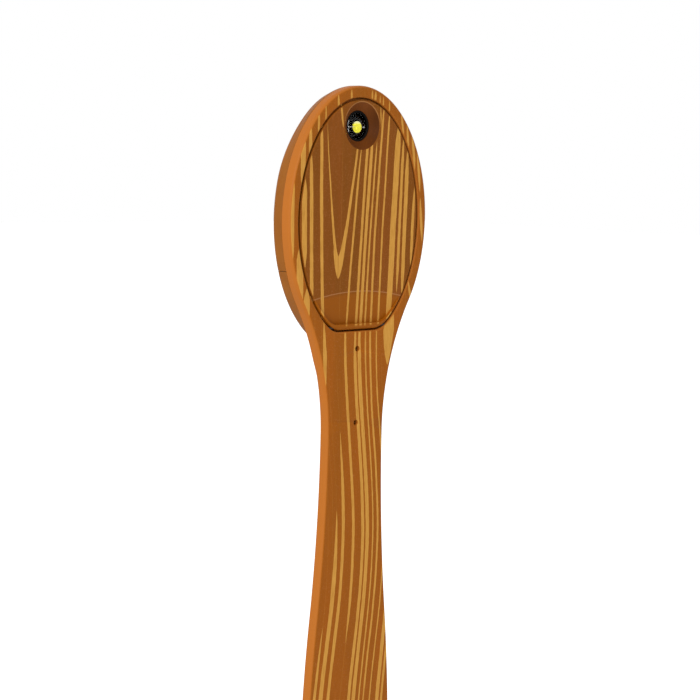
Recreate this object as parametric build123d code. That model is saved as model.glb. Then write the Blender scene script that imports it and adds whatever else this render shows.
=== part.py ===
from build123d import *
import os
from math import asin, atan2, cos, degrees, radians, sin, sqrt, tan

# A flexible reading light that doubles as a bookmark.
# X is to the right, the lit front faces -Y and +Z is up. Lengths are in millimetres.
# The origin is on the stem's flat back, in the middle, where the stem enters the pages.

# Ring and layers
ring_base_z = 15.7
rim_width = 2.2
front_thick = 2.2
rear_thick = 3.0
ledge = 1.0
front_round = 0.8
back_round = 1.2
rim_round = 0.15
parting_rise = 11.4
parting_gap = 0.15

# Stem and blade
blend_rise = 9.3
neck_radius = 50.0
blade_half_w = 11.0
flare_length = 70.0
blade_bottom_z = -105.0
blade_back_round = 0.5

# Bending stretch of the stem
bend_first_z = 4.5
bend_pitch = 4.0
bend_clear = 0.05
hole_r = 0.52
hole_low_z = 2.3
hole_high_z = 16.3

# Metal strip inside the stem
core_w = 4.0
core_thick = 0.3
core_low_z = -5.0
core_high_z = 18.2
core_clear = 0.05

# Sill, hinge and the head's shells
sill_rise = 1.7
sill_corner = 0.8
sill_gap = 0.3
seam_gap = 0.45
plate_clear = 0.15
pin_r = 0.3
pin_wall = 0.25
pin_clear = 0.03
pin_seat_clear = 0.01
pin_hold = 2.55
pin_rib_gap = 0.55
roll_margin = 1.05
corner_lift = 0.05
head_wall = 1.0
side_wall = 1.6
floor_wall = 2.0
split_y = 1.0
head_round = 0.4
panel_round = 0.2

# Scoop in the lower part of the panel
crease_rise = 6.55
crease_radius = 50.0
scoop_slope = 9.1
scoop_lip = 0.4

# Lamp and its recess
recess_r = 4.4
recess_floor_r = 3.0
recess_depth = 1.3
recess_lip = 0.35
bezel_r = 2.85
bezel_wall = 0.4
bezel_depth = 1.85
lens_clear = 0.03
lens_rise = 0.9
lens_collar = 0.6
chip_r = 1.2
chip_thick = 0.3
base_thick = 0.4
lead_r = 0.3
lead_x = 1.7
boss_wall = 1.7
boss_depth = 2.1
boss_gap = 0.4

# Battery and its hatch
cell_r = 10.0
cell_thick = 2.5
cell_front_y = -0.7
cell_rim = 1.5
cell_gap = 1.4
well_clear = 0.15
well_wall = 0.6
hatch_margin = 1.4
hatch_thick = 0.8
hatch_clear = 0.1
skirt_wall = 0.8
lug_reach = 0.6
lug_thick = 0.45
lug_gap = 0.2
lug_angle = 24.0
lug_count = 3
lug_turn = 34.0
slot_length = 12.0
slot_width = 1.6
slot_depth = 0.4

# Boards, switch and button
board_thick = 0.4
cavity_front_y = -1.3
low_cavity_front_y = -0.6
board_clear = 0.05
board_half_w = 5.0
board_rise = 1.3
board_reach = 4.8
button_rise = 2.9
button_r = 2.5
button_clear = 0.1
button_proud = 0.25
button_round = 0.2
flange_reach = 0.5
flange_thick = 0.45
switch_side = 4.0
switch_thick = 0.95
dome_r = 1.5
dome_thick = 0.45
dome_round = 0.36
resistor_x = -3.6
resistor_drop = 1.1
resistor_length = 1.6
resistor_width = 0.8
resistor_thick = 0.45
led_board_half_w = 3.6
led_board_under = 2.7
led_board_over = 1.8
led_board_thick = 0.5
rib_half_w = 1.5

# Metal leaves and the flat lead
leaf_thick = 0.2
leaf_width = 3.0
leaf_foot = 1.4
leaf_bend = 5.0
leaf_touch = 0.5
leaf_tip = 1.5
clip_start_angle = 286.0
clip_stop_angle = 304.0
clip_drop = 0.6
clip_foot_x = 3.8
clip_foot_w = 1.0
clip_foot = 1.2
clip_notch_clear = 0.27
clip_notch_drop = 7.0
strip_thick = 0.15
strip_width = 0.9
strip_start_angle = 105.0
strip_stop_angle = 248.0
strip_foot = 0.8

# Screws and pegs
post_r = 1.4
screw_r = 0.5
screw_head_r = 1.15
screw_head_thick = 0.6
screw_clear = 0.1
screw_wall = 1.65
screw_low_turn = -55.0
screw_high_turn = 67.2
cross_width = 0.3
cross_reach = 0.7
frame_screw_x = 4.4
frame_screw_drop = 1.15
frame_screw_head_r = 0.8
frame_screw_depth = 1.5
peg_r = 0.5
peg_height = 0.8
peg_clear = 0.05

# How far cuts run on past what they cut, and how near an edge lies to its plane
far = 300.0
cut_over = 0.1
near = 0.001

# Depths, from the lit front to the back
roll_r = pin_r + pin_wall
pin_y = -front_thick + roll_r
bend_y = -front_thick / 2
recess_y = -front_thick + recess_depth
back_floor_y = rear_thick - head_wall
screw_seat_y = rear_thick - screw_clear - screw_head_thick
cell_back_y = cell_front_y + cell_thick
hatch_front_y = rear_thick - hatch_thick
lug_front_y = hatch_front_y - lug_gap - lug_thick
board_front_y = low_cavity_front_y + board_clear
board_back_y = board_front_y + board_thick
switch_back_y = board_back_y + switch_thick
flange_back_y = back_floor_y - button_clear
flange_front_y = flange_back_y - flange_thick
led_base_back_y = recess_y + bezel_depth
led_base_front_y = led_base_back_y - base_thick
chip_back_y = led_base_front_y - lens_clear
chip_front_y = chip_back_y - chip_thick
lens_back_y = chip_front_y - lens_clear
led_board_front_y = led_base_back_y + lens_clear
led_board_back_y = led_board_front_y + led_board_thick

# Heights, stacked from the lowest point of the ring up to its top
sill_z = ring_base_z + rim_width + sill_rise
pin_z = sill_z + sill_gap + roll_r
plate_floor_z = pin_z + roll_r + corner_lift
shell_floor_z = sill_z + 2 * sill_gap
low_cavity_z = shell_floor_z + floor_wall
board_low_z = low_cavity_z + board_rise
button_z = board_low_z + button_rise
board_high_z = button_z + board_reach
cell_z = board_high_z + cell_gap + cell_r
boss_r = recess_floor_r + boss_wall
led_z = cell_z + cell_r + boss_gap + boss_r
ring_top_z = led_z + recess_r + recess_lip + seam_gap + rim_width
head_z = (ring_top_z + ring_base_z) / 2
blend_z = ring_base_z + blend_rise
crease_z = pin_z + crease_rise
parting_z = sill_z + parting_rise
frame_screw_z = sill_z - frame_screw_drop
bend_z = [bend_first_z + bend_pitch * i for i in range(3)]

# Half sizes of the ovals, from the battery hatch out to the ring
hatch_r = cell_r + hatch_margin
groove_r = hatch_r + hatch_clear + lug_reach
shell_half_w = groove_r + hatch_clear + side_wall
rear_open_half_w = shell_half_w + seam_gap
open_half_w = rear_open_half_w + ledge
ring_half_w = open_half_w + rim_width
ring_half_h = (ring_top_z - ring_base_z) / 2
open_half_h = ring_half_h - rim_width
rear_open_half_h = open_half_h - ledge
shell_half_h = rear_open_half_h - seam_gap
plate_half_w = open_half_w - seam_gap
plate_half_h = open_half_h - seam_gap
cavity_half_w = shell_half_w - head_wall
cavity_half_h = shell_half_h - head_wall
pin_span = open_half_w * sqrt(1 - ((head_z - pin_z) / open_half_h) ** 2)
pin_half_length = pin_span + pin_hold
roll_half_w = pin_span - roll_margin
screw_ring_r = groove_r + hatch_clear + screw_wall + screw_head_r + screw_clear
clip_r = cell_r + board_clear + leaf_thick
clip_notch_w = clip_r * cos(radians(clip_stop_angle)) + clip_notch_clear


def slab(sketch, front, back):
    """A flat drawing (X across, Z up) made solid from one depth to another."""
    return extrude(Plane.XZ.offset(-back) * sketch, back - front)


def disc(radius, x, z, front, back):
    return slab(Pos(x, z) * Circle(radius), front, back)


def block(x0, x1, y0, y1, z0, z1):
    middle = Pos((x0 + x1) / 2, (y0 + y1) / 2, (z0 + z1) / 2)
    return middle * Box(x1 - x0, y1 - y0, z1 - z0)


def across(radius, half_length, y, z):
    """A round bar that lies along X."""
    return Pos(0, y, z) * Rot(0, 90, 0) * Cylinder(radius, 2 * half_length)


def oval(half_w, half_h, floor_z=None):
    """An upright oval about the head's centre, cut off flat at floor_z."""
    shape = Pos(0, head_z) * Ellipse(half_w, half_h)
    if floor_z is None:
        return shape
    return shape & above(floor_z)


def above(z):
    return Pos(0, z + far / 2) * Rectangle(far, far)


def front_edges(solid, y):
    """The edges that lie in one plane facing the reader."""
    return solid.edges().filter_by_position(Axis.Y, y - near, y + near)


def outline():
    """The ring, the neck and the blade as one closed outline with tangent arcs."""
    turn = asin((blend_z - head_z) / ring_half_h)
    blend_x = ring_half_w * cos(turn)
    lean = atan2(ring_half_w * sin(-turn), ring_half_h * cos(turn))
    neck_x = blend_x + neck_radius * cos(lean)
    waist_z = blend_z - neck_radius * sin(lean)
    waist_x = neck_x - neck_radius
    middle = lean / 2
    neck_mid = (neck_x - neck_radius * cos(middle), waist_z + neck_radius * sin(middle))
    flare = blade_half_w - waist_x
    flare_radius = (flare_length ** 2 + flare ** 2) / (4 * flare)
    step = flare_length / 4
    sag = flare_radius - sqrt(flare_radius ** 2 - step ** 2)
    join = (waist_x + flare / 2, waist_z - flare_length / 2)
    side = blade_half_w
    low_z = waist_z - flare_length
    end_z = blade_bottom_z + blade_half_w
    first = ThreePointArc((blend_x, blend_z), neck_mid, (waist_x, waist_z))
    second = ThreePointArc((waist_x, waist_z), (waist_x + sag, waist_z - step), join)
    third = ThreePointArc(join, (side - sag, low_z + step), (side, low_z))
    fourth = Line((side, low_z), (side, end_z))
    right = [first, second, third, fourth]
    left = [mirror(edge, about=Plane.YZ) for edge in right]
    end = ThreePointArc((side, end_z), (0, blade_bottom_z), (-side, end_z))
    start = degrees(turn)
    top = EllipticalCenterArc(
        (0, head_z), ring_half_w, ring_half_h, start_angle=start, arc_size=180 - 2 * start
    )
    return make_face(right + left + [end, top])


def core_slot():
    half = core_w / 2 + core_clear
    depth = core_thick / 2 + core_clear
    low = core_low_z - core_clear
    high = core_high_z + core_clear
    return block(-half, half, bend_y - depth, bend_y + depth, low, high)


def pinhole(z):
    return disc(hole_r, 0, z, -front_thick - cut_over, bend_y)


def knuckle(z):
    return across(front_thick / 2, far / 4, bend_y, z)


def socket(z):
    return across(front_thick / 2 + bend_clear, far / 4, bend_y, z)


def band(low, high):
    return block(-far / 4, far / 4, -front_thick, 0, low, high)


def ring_layer():
    """The whole front layer, rounded along its front edge."""
    layer = slab(outline(), -front_thick, 0)
    return fillet(front_edges(layer, -front_thick), front_round)


def stem_layer():
    """The front layer rounded along its back edge too, where nothing lies behind it."""
    layer = ring_layer()
    return fillet(front_edges(layer, 0), blade_back_round)


def blade(layer):
    solid = layer & band(blade_bottom_z - cut_over, bend_z[0])
    return solid - socket(bend_z[0]) - core_slot() - pinhole(hole_low_z)


def neck_link(layer, index):
    low = bend_z[index]
    high = bend_z[index + 1]
    solid = layer & (band(low, high) + knuckle(low))
    return solid - socket(high) - core_slot()


def stem_core():
    half = core_w / 2
    depth = core_thick / 2
    strip = block(-half, half, bend_y - depth, bend_y + depth, core_low_z, core_high_z)
    for z in (hole_low_z, hole_high_z):
        strip -= disc(hole_r, 0, z, -front_thick, 0)
    return strip


def opening(half_w, half_h, front, back):
    face = oval(half_w, half_h, sill_z)
    corners = face.vertices().filter_by_position(Axis.Y, sill_z - near, sill_z + near)
    return slab(fillet(corners, sill_corner), front, back)


def pin_seat():
    """Two grooves, open at the back, that the hinge pin's ends are laid into."""
    width = pin_r + pin_seat_clear
    reach = pin_half_length + pin_seat_clear
    bar = across(width, reach, pin_y, pin_z)
    return bar + block(-reach, reach, pin_y, cut_over, pin_z - width, pin_z + width)


def peg_places():
    middle_w = (ring_half_w + open_half_w) / 2
    middle_h = (ring_half_h + open_half_h) / 2
    return [(-middle_w, head_z), (middle_w, head_z), (0, head_z + middle_h)]


def frame_front(layer):
    solid = layer & (band(bend_z[-1], ring_top_z + cut_over) + knuckle(bend_z[-1]))
    hole = opening(open_half_w, open_half_h, -front_thick - cut_over, cut_over)
    solid = solid - hole - core_slot() - pinhole(hole_high_z)
    solid = solid - pin_seat()
    for x, z in peg_places():
        solid -= disc(peg_r + peg_clear, x, z, -peg_height - peg_clear, cut_over)
    for x in (-frame_screw_x, frame_screw_x):
        solid -= disc(screw_r, x, frame_screw_z, -frame_screw_depth, cut_over)
    return solid


def rear_layer():
    """The thicker layer behind the ring, before it is parted in two."""
    solid = slab(oval(ring_half_w, ring_half_h), 0, rear_thick)
    solid = fillet(front_edges(solid, rear_thick), back_round)
    return solid - opening(rear_open_half_w, rear_open_half_h, -cut_over, rear_thick + cut_over)


def rear_ring():
    low = parting_z + parting_gap / 2
    solid = rear_layer() & block(-far, far, -far, far, low, far)
    for x, z in peg_places():
        solid += disc(peg_r, x, z, -peg_height, rear_thick / 2)
    return solid


def stem_clamp():
    """The lower part of the rear layer, with ribs that close the pin's grooves."""
    high = parting_z - parting_gap / 2
    solid = rear_layer() & block(-far, far, -far, far, -far, high)
    rib_inner = pin_span + pin_rib_gap
    rib_front = pin_y + pin_r + pin_seat_clear
    for side in (-1, 1):
        ends = sorted((side * rib_inner, side * pin_half_length))
        solid += block(*ends, rib_front, rear_thick / 2, pin_z - pin_r, pin_z + pin_r)
    for x in (-frame_screw_x, frame_screw_x):
        solid -= disc(screw_r + screw_clear, x, frame_screw_z, -cut_over, rear_thick)
        head = frame_screw_head_r + screw_clear
        solid -= disc(head, x, frame_screw_z, screw_seat_y, rear_thick + cut_over)
    return solid


def screw(x, z, head_r, front, back):
    """One pan head screw with a cross recess, driven in from behind."""
    head_front = back - screw_head_thick
    solid = disc(head_r, x, z, head_front, back) + disc(screw_r, x, z, front, head_front)
    arm = head_r * cross_reach
    half = cross_width / 2
    cross_front = back - screw_head_thick / 2
    solid -= block(x - arm, x + arm, cross_front, back + cut_over, z - half, z + half)
    solid -= block(x - half, x + half, cross_front, back + cut_over, z - arm, z + arm)
    return solid


def frame_screws():
    front = -frame_screw_depth
    back = rear_thick - screw_clear
    places = [(-frame_screw_x, frame_screw_z), (frame_screw_x, frame_screw_z)]
    return Compound([screw(x, z, frame_screw_head_r, front, back) for x, z in places])


def hinge_pin():
    return across(pin_r, pin_half_length, pin_y, pin_z)


def head_screw_places():
    """Four places on a circle about the battery, clear of its hatch."""
    places = []
    for turn in (radians(screw_low_turn), radians(screw_high_turn)):
        z = cell_z + screw_ring_r * sin(turn)
        places += [(side * screw_ring_r * cos(turn), z) for side in (-1, 1)]
    return places


def scoop():
    """A shallow cone about a point far below, which leaves a curved crease on the panel."""
    start = -front_thick - cut_over
    depth = roll_r * 2 + 2 * cut_over
    fall = 1 / tan(radians(scoop_slope))
    wide = crease_radius + cut_over * fall
    narrow = wide - depth * fall
    axis_z = crease_z - crease_radius
    cone = Pos(0, start + depth / 2, axis_z) * Rot(90, 0, 0) * Cone(narrow, wide, depth)
    region = oval(plate_half_w - scoop_lip, plate_half_h - scoop_lip, pin_z)
    corner = Pos(0, plate_floor_z + scoop_lip) * Rectangle(far, far, align=(Align.CENTER, Align.MAX))
    middle = Pos(0, pin_z) * Rectangle(2 * roll_half_w, far)
    region = region - (corner - middle)
    return cone & slab(region, -front_thick - cut_over, split_y)


def hinge_roll():
    """The rolled bottom edge of the panel, which turns on the pin, and the web behind it."""
    solid = across(roll_r, roll_half_w, pin_y, pin_z)
    low = pin_z - pin_wall
    return solid + block(-roll_half_w, roll_half_w, pin_y, -plate_clear, low, pin_z)


def head_cavity():
    wide = oval(cavity_half_w, cavity_half_h, board_high_z + board_clear)
    low = oval(cavity_half_w, cavity_half_h, low_cavity_z)
    hollow = slab(wide, cavity_front_y, split_y + cut_over)
    hollow += slab(low, low_cavity_front_y, split_y + cut_over)
    well_r = cell_r + well_clear
    wall = disc(well_r + well_wall, 0, cell_z, cavity_front_y, split_y + far)
    wall -= disc(well_r, 0, cell_z, -far, far)
    notch = leaf_width / 2 + board_clear
    wall -= block(-notch, notch, -far, far, -far, cell_z)
    wall -= block(0, clip_notch_w, -far, far, -far, cell_z - clip_notch_drop)
    hollow -= wall
    for x, z in head_screw_places():
        hollow -= disc(post_r, x, z, -far, far)
    hollow -= disc(boss_r, 0, led_z, -far, -front_thick + boss_depth)
    return hollow


def led_hole():
    """The conical recess and the round hole behind it that holds the bezel."""
    face_y = -front_thick - cut_over
    flare = (recess_r - recess_floor_r) / recess_depth
    wide = recess_r + cut_over * flare
    depth = recess_depth + cut_over
    cone = Pos(0, face_y + depth / 2, led_z) * Rot(90, 0, 0) * Cone(recess_floor_r, wide, depth)
    return cone + disc(bezel_r + lens_clear, 0, led_z, recess_y - cut_over, split_y + cut_over)


def head_front():
    plate = slab(oval(plate_half_w, plate_half_h, plate_floor_z), -front_thick, -plate_clear)
    plate = fillet(front_edges(plate, -front_thick), panel_round)
    half = roll_half_w
    plate += block(-half, half, pin_y, -plate_clear, pin_z, plate_floor_z + panel_round)
    plate -= scoop()
    solid = plate + slab(oval(shell_half_w, shell_half_h, shell_floor_z), -plate_clear, split_y)
    solid += hinge_roll()
    solid = solid - head_cavity() - led_hole()
    solid -= across(pin_r + pin_clear, far / 4, pin_y, pin_z)
    for x, z in head_screw_places():
        solid -= disc(screw_r, x, z, low_cavity_front_y, split_y + cut_over)
    return solid


def head_back():
    outer = oval(shell_half_w, shell_half_h, shell_floor_z)
    solid = slab(outer, split_y, rear_thick)
    solid = fillet(front_edges(solid, rear_thick), head_round)
    inside_y = split_y - cut_over
    outside_y = rear_thick + cut_over
    hollow = slab(oval(cavity_half_w, cavity_half_h, low_cavity_z), inside_y, back_floor_y)
    for x, z in head_screw_places():
        hollow -= disc(post_r, x, z, inside_y, back_floor_y)
    rib_low = led_z - rib_half_w
    rib_high = led_z + rib_half_w
    rib_front = led_board_back_y + board_clear
    hollow -= block(-rib_half_w, rib_half_w, rib_front, back_floor_y, rib_low, rib_high)
    solid -= hollow
    solid -= disc(hatch_r + hatch_clear, 0, cell_z, inside_y, outside_y)
    solid -= disc(groove_r + hatch_clear, 0, cell_z, inside_y, hatch_front_y - hatch_clear)
    for turn in lug_turns():
        solid -= lug(turn + lug_turn, hatch_clear, inside_y, outside_y)
    solid -= disc(button_r + button_clear, 0, button_z, inside_y, outside_y)
    for x, z in head_screw_places():
        solid -= disc(screw_r + screw_clear, x, z, inside_y, rear_thick)
        solid -= disc(screw_head_r + screw_clear, x, z, screw_seat_y, outside_y)
    return solid


def lug_turns():
    return [90 + 360 / lug_count * i for i in range(lug_count)]


def lug(turn, extra, front, back):
    """One bayonet lug, or with extra the notch that lets it out."""
    half = lug_angle / 2 + degrees(extra / hatch_r)
    reach = far / 4
    left = (reach * cos(radians(turn - half)), reach * sin(radians(turn - half)))
    right = (reach * cos(radians(turn + half)), reach * sin(radians(turn + half)))
    wedge = make_face([Line((0, 0), left), Line(left, right), Line(right, (0, 0))])
    ring = Circle(hatch_r + lug_reach + extra) - Circle(hatch_r - skirt_wall / 2)
    return slab(Pos(0, cell_z) * (ring & wedge), front, back)


def battery_hatch():
    solid = disc(hatch_r, 0, cell_z, lug_front_y, rear_thick)
    solid -= disc(hatch_r - skirt_wall, 0, cell_z, lug_front_y - cut_over, hatch_front_y)
    solid = fillet(front_edges(solid, rear_thick), rim_round)
    for turn in lug_turns():
        solid += lug(turn, 0, lug_front_y, lug_front_y + lug_thick)
    slot = Pos(0, cell_z) * SlotOverall(slot_length, slot_width)
    return solid - slab(slot, rear_thick - slot_depth, rear_thick + cut_over)


def coin_cell():
    cell = disc(cell_r, 0, cell_z, cell_front_y, cell_back_y)
    step = disc(far, 0, cell_z, -far, cell_front_y + leaf_thick)
    return cell - (step - disc(cell_r - cell_rim, 0, cell_z, -far, far))


def bent_leaf(points, half_w):
    """A strip of sheet metal that follows points given as (depth, height)."""
    spine = Polyline(*[(0, y, z) for y, z in points])
    section = Plane(origin=spine @ 0, x_dir=(1, 0, 0), z_dir=spine % 0)
    return sweep(section * Rectangle(2 * half_w, leaf_thick), spine, transition=Transition.RIGHT)


def contact_negative():
    """From the board's back, round the well's edge, up to the middle of the cell."""
    lift = leaf_thick / 2 + board_clear
    board_y = board_back_y + lift
    floor_y = cavity_front_y + lift
    touch_y = cell_front_y - lift
    turn_z = board_high_z + leaf_thick + board_clear
    points = [
        (board_y, board_high_z - leaf_foot),
        (board_y, turn_z),
        (floor_y, turn_z),
        (floor_y, cell_z - leaf_bend),
        (touch_y, cell_z - leaf_touch),
        (touch_y, cell_z + leaf_tip),
    ]
    return bent_leaf(points, leaf_width / 2)


def ring_piece(inner, outer, start, stop, front, back):
    """A piece of a ring about the cell, between two angles."""
    wedge = [(0, 0)]
    steps = 8
    for i in range(steps + 1):
        turn = radians(start + (stop - start) * i / steps)
        wedge.append((far / 4 * cos(turn), far / 4 * sin(turn)))
    fan = make_face(Polyline(*wedge, close=True))
    return slab(Pos(0, cell_z) * ((Circle(outer) - Circle(inner)) & fan), front, back)


def contact_positive():
    """A springy clip against the cell's rim, with a foot on the board."""
    inner = cell_r + board_clear
    outer = inner + leaf_thick
    front = board_back_y + board_clear
    clip = ring_piece(inner, outer, clip_start_angle, clip_stop_angle, front, cell_back_y - clip_drop)
    foot_end = clip_foot_x + clip_foot_w
    foot_low = board_high_z - clip_foot
    foot_high = cell_z - sqrt(inner ** 2 - clip_foot_x ** 2)
    foot = block(clip_foot_x, foot_end, front, front + leaf_thick, foot_low, foot_high)
    return clip + foot


def switch_board():
    low = oval(cavity_half_w, cavity_half_h)
    face = Rectangle(2 * board_half_w, board_high_z - board_low_z)
    face = Pos(0, (board_high_z + board_low_z) / 2) * face
    return slab(face & low, board_front_y, board_back_y)


def tact_switch():
    half = switch_side / 2
    return block(-half, half, board_back_y, switch_back_y, button_z - half, button_z + half)


def button_dome():
    """A sprung metal dome between the switch and the button."""
    solid = disc(dome_r, 0, button_z, switch_back_y, switch_back_y + dome_thick)
    return fillet(front_edges(solid, switch_back_y + dome_thick), dome_round)


def power_button():
    back = rear_thick + button_proud
    cap = disc(button_r, 0, button_z, flange_front_y, back)
    cap = fillet(front_edges(cap, back), button_round)
    return cap + disc(button_r + flange_reach, 0, button_z, flange_front_y, flange_back_y)


def resistor():
    middle_z = board_high_z - resistor_drop
    front = board_back_y
    left = resistor_x - resistor_length / 2
    right = resistor_x + resistor_length / 2
    low = middle_z - resistor_width / 2
    return block(left, right, front, front + resistor_thick, low, low + resistor_width)


def flex_strip():
    """A flat lead on edge round the left of the battery well, from board to board."""
    inner = cell_r + well_clear + well_wall + board_clear
    outer = inner + strip_thick
    front = board_back_y + board_clear
    back = front + strip_width
    strip = ring_piece(inner, outer, strip_start_angle, strip_stop_angle, front, back)
    foot_x = outer * cos(radians(strip_stop_angle))
    foot_low = board_high_z - strip_foot
    foot_high = cell_z + inner * sin(radians(strip_stop_angle))
    foot = block(foot_x, foot_x + strip_thick, front, back, foot_low, foot_high)
    return strip + foot


def led_board():
    half = led_board_half_w
    low = led_z - led_board_under
    high = led_z + led_board_over
    return block(-half, half, led_board_front_y, led_board_back_y, low, high)


def led_bezel():
    ring = disc(bezel_r, 0, led_z, recess_y, led_base_back_y)
    return ring - disc(bezel_r - bezel_wall, 0, led_z, -far, far)


def led_lens():
    """A clear dome with a short collar, in front of the lit chip."""
    radius = bezel_r - bezel_wall - lens_clear
    collar_y = lens_back_y - lens_collar
    globe_r = (radius ** 2 + lens_rise ** 2) / (2 * lens_rise)
    globe = Pos(0, collar_y - lens_rise + globe_r, led_z) * Sphere(globe_r)
    collar = disc(radius, 0, led_z, collar_y, lens_back_y)
    return collar + (globe & disc(radius, 0, led_z, -far, collar_y))


def led_chip():
    return disc(chip_r, 0, led_z, chip_front_y, chip_back_y)


def led_leads():
    leads = []
    for x in (-lead_x, lead_x):
        leads.append(disc(lead_r, x, led_z, chip_front_y, chip_back_y))
    return Compound(leads)


def led_base():
    radius = bezel_r - bezel_wall - lens_clear
    return disc(radius, 0, led_z, led_base_front_y, led_base_back_y)


def head_screws():
    back = rear_thick - screw_clear
    front = low_cavity_front_y
    return Compound([screw(x, z, screw_head_r, front, back) for x, z in head_screw_places()])


def parts():
    stem = stem_layer()
    ring = ring_layer()
    return {
        "blade": blade(stem),
        "neck_link_lower": neck_link(stem, 0),
        "neck_link_upper": neck_link(stem, 1),
        "stem_core": stem_core(),
        "frame_front": frame_front(ring),
        "rear_ring": rear_ring(),
        "stem_clamp": stem_clamp(),
        "frame_screws": frame_screws(),
        "hinge_pin": hinge_pin(),
        "head_front": head_front(),
        "head_back": head_back(),
        "head_screws": head_screws(),
        "battery_hatch": battery_hatch(),
        "coin_cell": coin_cell(),
        "contact_negative": contact_negative(),
        "contact_positive": contact_positive(),
        "switch_board": switch_board(),
        "tact_switch": tact_switch(),
        "button_dome": button_dome(),
        "power_button": power_button(),
        "resistor": resistor(),
        "flex_strip": flex_strip(),
        "led_board": led_board(),
        "led_base": led_base(),
        "led_leads": led_leads(),
        "led_chip": led_chip(),
        "led_lens": led_lens(),
        "led_bezel": led_bezel(),
    }


os.makedirs("parts", exist_ok=True)
for name, shape in parts().items():
    export_step(shape, f"parts/{name}.step")
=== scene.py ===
from math import asin, atan2, cos, hypot, pi, radians, sin, sqrt, tan

import bmesh
import bpy
import numpy as np
from mathutils import Matrix, Vector, geometry


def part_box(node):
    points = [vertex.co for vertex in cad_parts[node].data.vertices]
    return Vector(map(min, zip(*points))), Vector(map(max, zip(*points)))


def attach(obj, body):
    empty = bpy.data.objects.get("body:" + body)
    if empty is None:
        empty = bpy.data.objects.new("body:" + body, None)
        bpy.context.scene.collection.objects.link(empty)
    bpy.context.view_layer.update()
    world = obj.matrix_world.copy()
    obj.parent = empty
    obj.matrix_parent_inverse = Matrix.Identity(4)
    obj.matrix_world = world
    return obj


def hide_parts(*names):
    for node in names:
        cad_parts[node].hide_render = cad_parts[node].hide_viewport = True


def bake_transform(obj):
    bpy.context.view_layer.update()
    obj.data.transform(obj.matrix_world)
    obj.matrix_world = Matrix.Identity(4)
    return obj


# A flexible reading light that doubles as a bookmark, in brown plastic with a printed wood grain.
# X is to the right, the lit front faces -Y and +Z is up. Lengths here are in millimetres,
# and each finished mesh is scaled to metres.

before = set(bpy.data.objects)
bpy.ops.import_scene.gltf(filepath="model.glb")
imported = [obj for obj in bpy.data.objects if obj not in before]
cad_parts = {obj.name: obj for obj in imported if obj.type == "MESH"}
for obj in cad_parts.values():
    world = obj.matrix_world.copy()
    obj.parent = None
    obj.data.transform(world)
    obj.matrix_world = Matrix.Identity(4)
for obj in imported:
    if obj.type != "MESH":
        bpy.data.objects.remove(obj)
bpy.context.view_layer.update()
MM = 0.001


def box_mm(node):
    """The lowest and highest corner of a solid, in millimetres."""
    low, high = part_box(node)
    return low / MM, high / MM


# Sizes read from the solids
front_low, front_high = box_mm("frame_front")
clamp_low, clamp_high = box_mm("stem_clamp")
rear_low, rear_high = box_mm("rear_ring")
panel_low, panel_high = box_mm("head_front")
shell_low, shell_high = box_mm("head_back")
hatch_low, _ = box_mm("battery_hatch")
button_low, button_high = box_mm("power_button")
bezel_low, bezel_high = box_mm("led_bezel")
lens_low, lens_high = box_mm("led_lens")
_, chip_high = box_mm("led_chip")
base_low, base_high = box_mm("led_base")
pin_low, pin_high = box_mm("hinge_pin")
blade_low, blade_high = box_mm("blade")
core_low, core_high = box_mm("stem_core")
frame_screw_low, frame_screw_high = box_mm("frame_screws")
cell_low, cell_high = box_mm("coin_cell")

RING_W = front_high.x
RING_TOP = front_high.z
RING_BASE = clamp_low.z
RING_Z = (RING_TOP + RING_BASE) / 2
RING_H = (RING_TOP - RING_BASE) / 2
FRONT_Y = front_low.y
REAR_Y = rear_high.y
PANEL_W = panel_high.x
PANEL_H = panel_high.z - RING_Z
PANEL_FLOOR = panel_low.z
SHELL_W = shell_high.x
SHELL_H = shell_high.z - RING_Z
SHELL_FLOOR = shell_low.z
SPLIT_Y = shell_low.y
CELL_Z = (cell_low.z + cell_high.z) / 2
BUTTON_Z = (button_low.z + button_high.z) / 2
LED_Z = (bezel_low.z + bezel_high.z) / 2
PIN_Z = (pin_low.z + pin_high.z) / 2
BLADE_W = blade_high.x
BLADE_END = blade_low.z

# Roundings, gaps and walls
LEDGE = 1.0
RIM = 2.2
FRONT_ROUND = 0.8
FRONT_INSET = 0.5
REAR_ROUND = 1.2
BACK_EASE = 0.12
STEM_BACK_ROUND = 0.5
PARTING_ROUND = 0.08
PARTING_CLOSER = 0.06
RIM_ROUND = 0.3
PANEL_ROUND = 0.2
FLANGE = 0.3
FLANGE_LEAST = 0.02
FLANGE_LOW = 21.8
FLANGE_HIGH = 24.5
SEAM_DEPTH = 0.65
ROLL_ROUND = 0.55
ROLL_RISE = 1.2
SILL_CORNER = 4.45
PANEL_CORNER = 4.1
CLAMP_CORNER = 0.8
SHELL_CORNER = 0.5
SHELL_ROUND = 0.4
WALL = 1.0
TOP_WALL = 0.7
LOW_WALL = 2.0
PANEL_BACK = -0.15
WELL_FLOOR = -1.3
LOW_FLOOR = -0.6
WELL_STEP_Z = 31.25
SILL_Z = RING_BASE + 3.9
SHELL_GAP = 0.12

# The layer behind the ring leans in near its top and is eased outwards at its bottom,
# each between two sines of the turn round the head
TOP_LEAN = 0.55
LEAN_SPAN = (0.3, 0.8)
LEAN_POWER = 1.5
LOW_EASE = 0.4
LOW_SPAN = (0.75, 0.95)

# Half sizes of the openings in the ring, in the layer behind it and in the head
OPENING_W = RING_W - RIM
OPENING_H = RING_H - RIM
REAR_HOLE_W = OPENING_W - LEDGE
REAR_HOLE_H = OPENING_H - LEDGE
HOLLOW_W = SHELL_W - WALL
HOLLOW_H = SHELL_H - TOP_WALL

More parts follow.
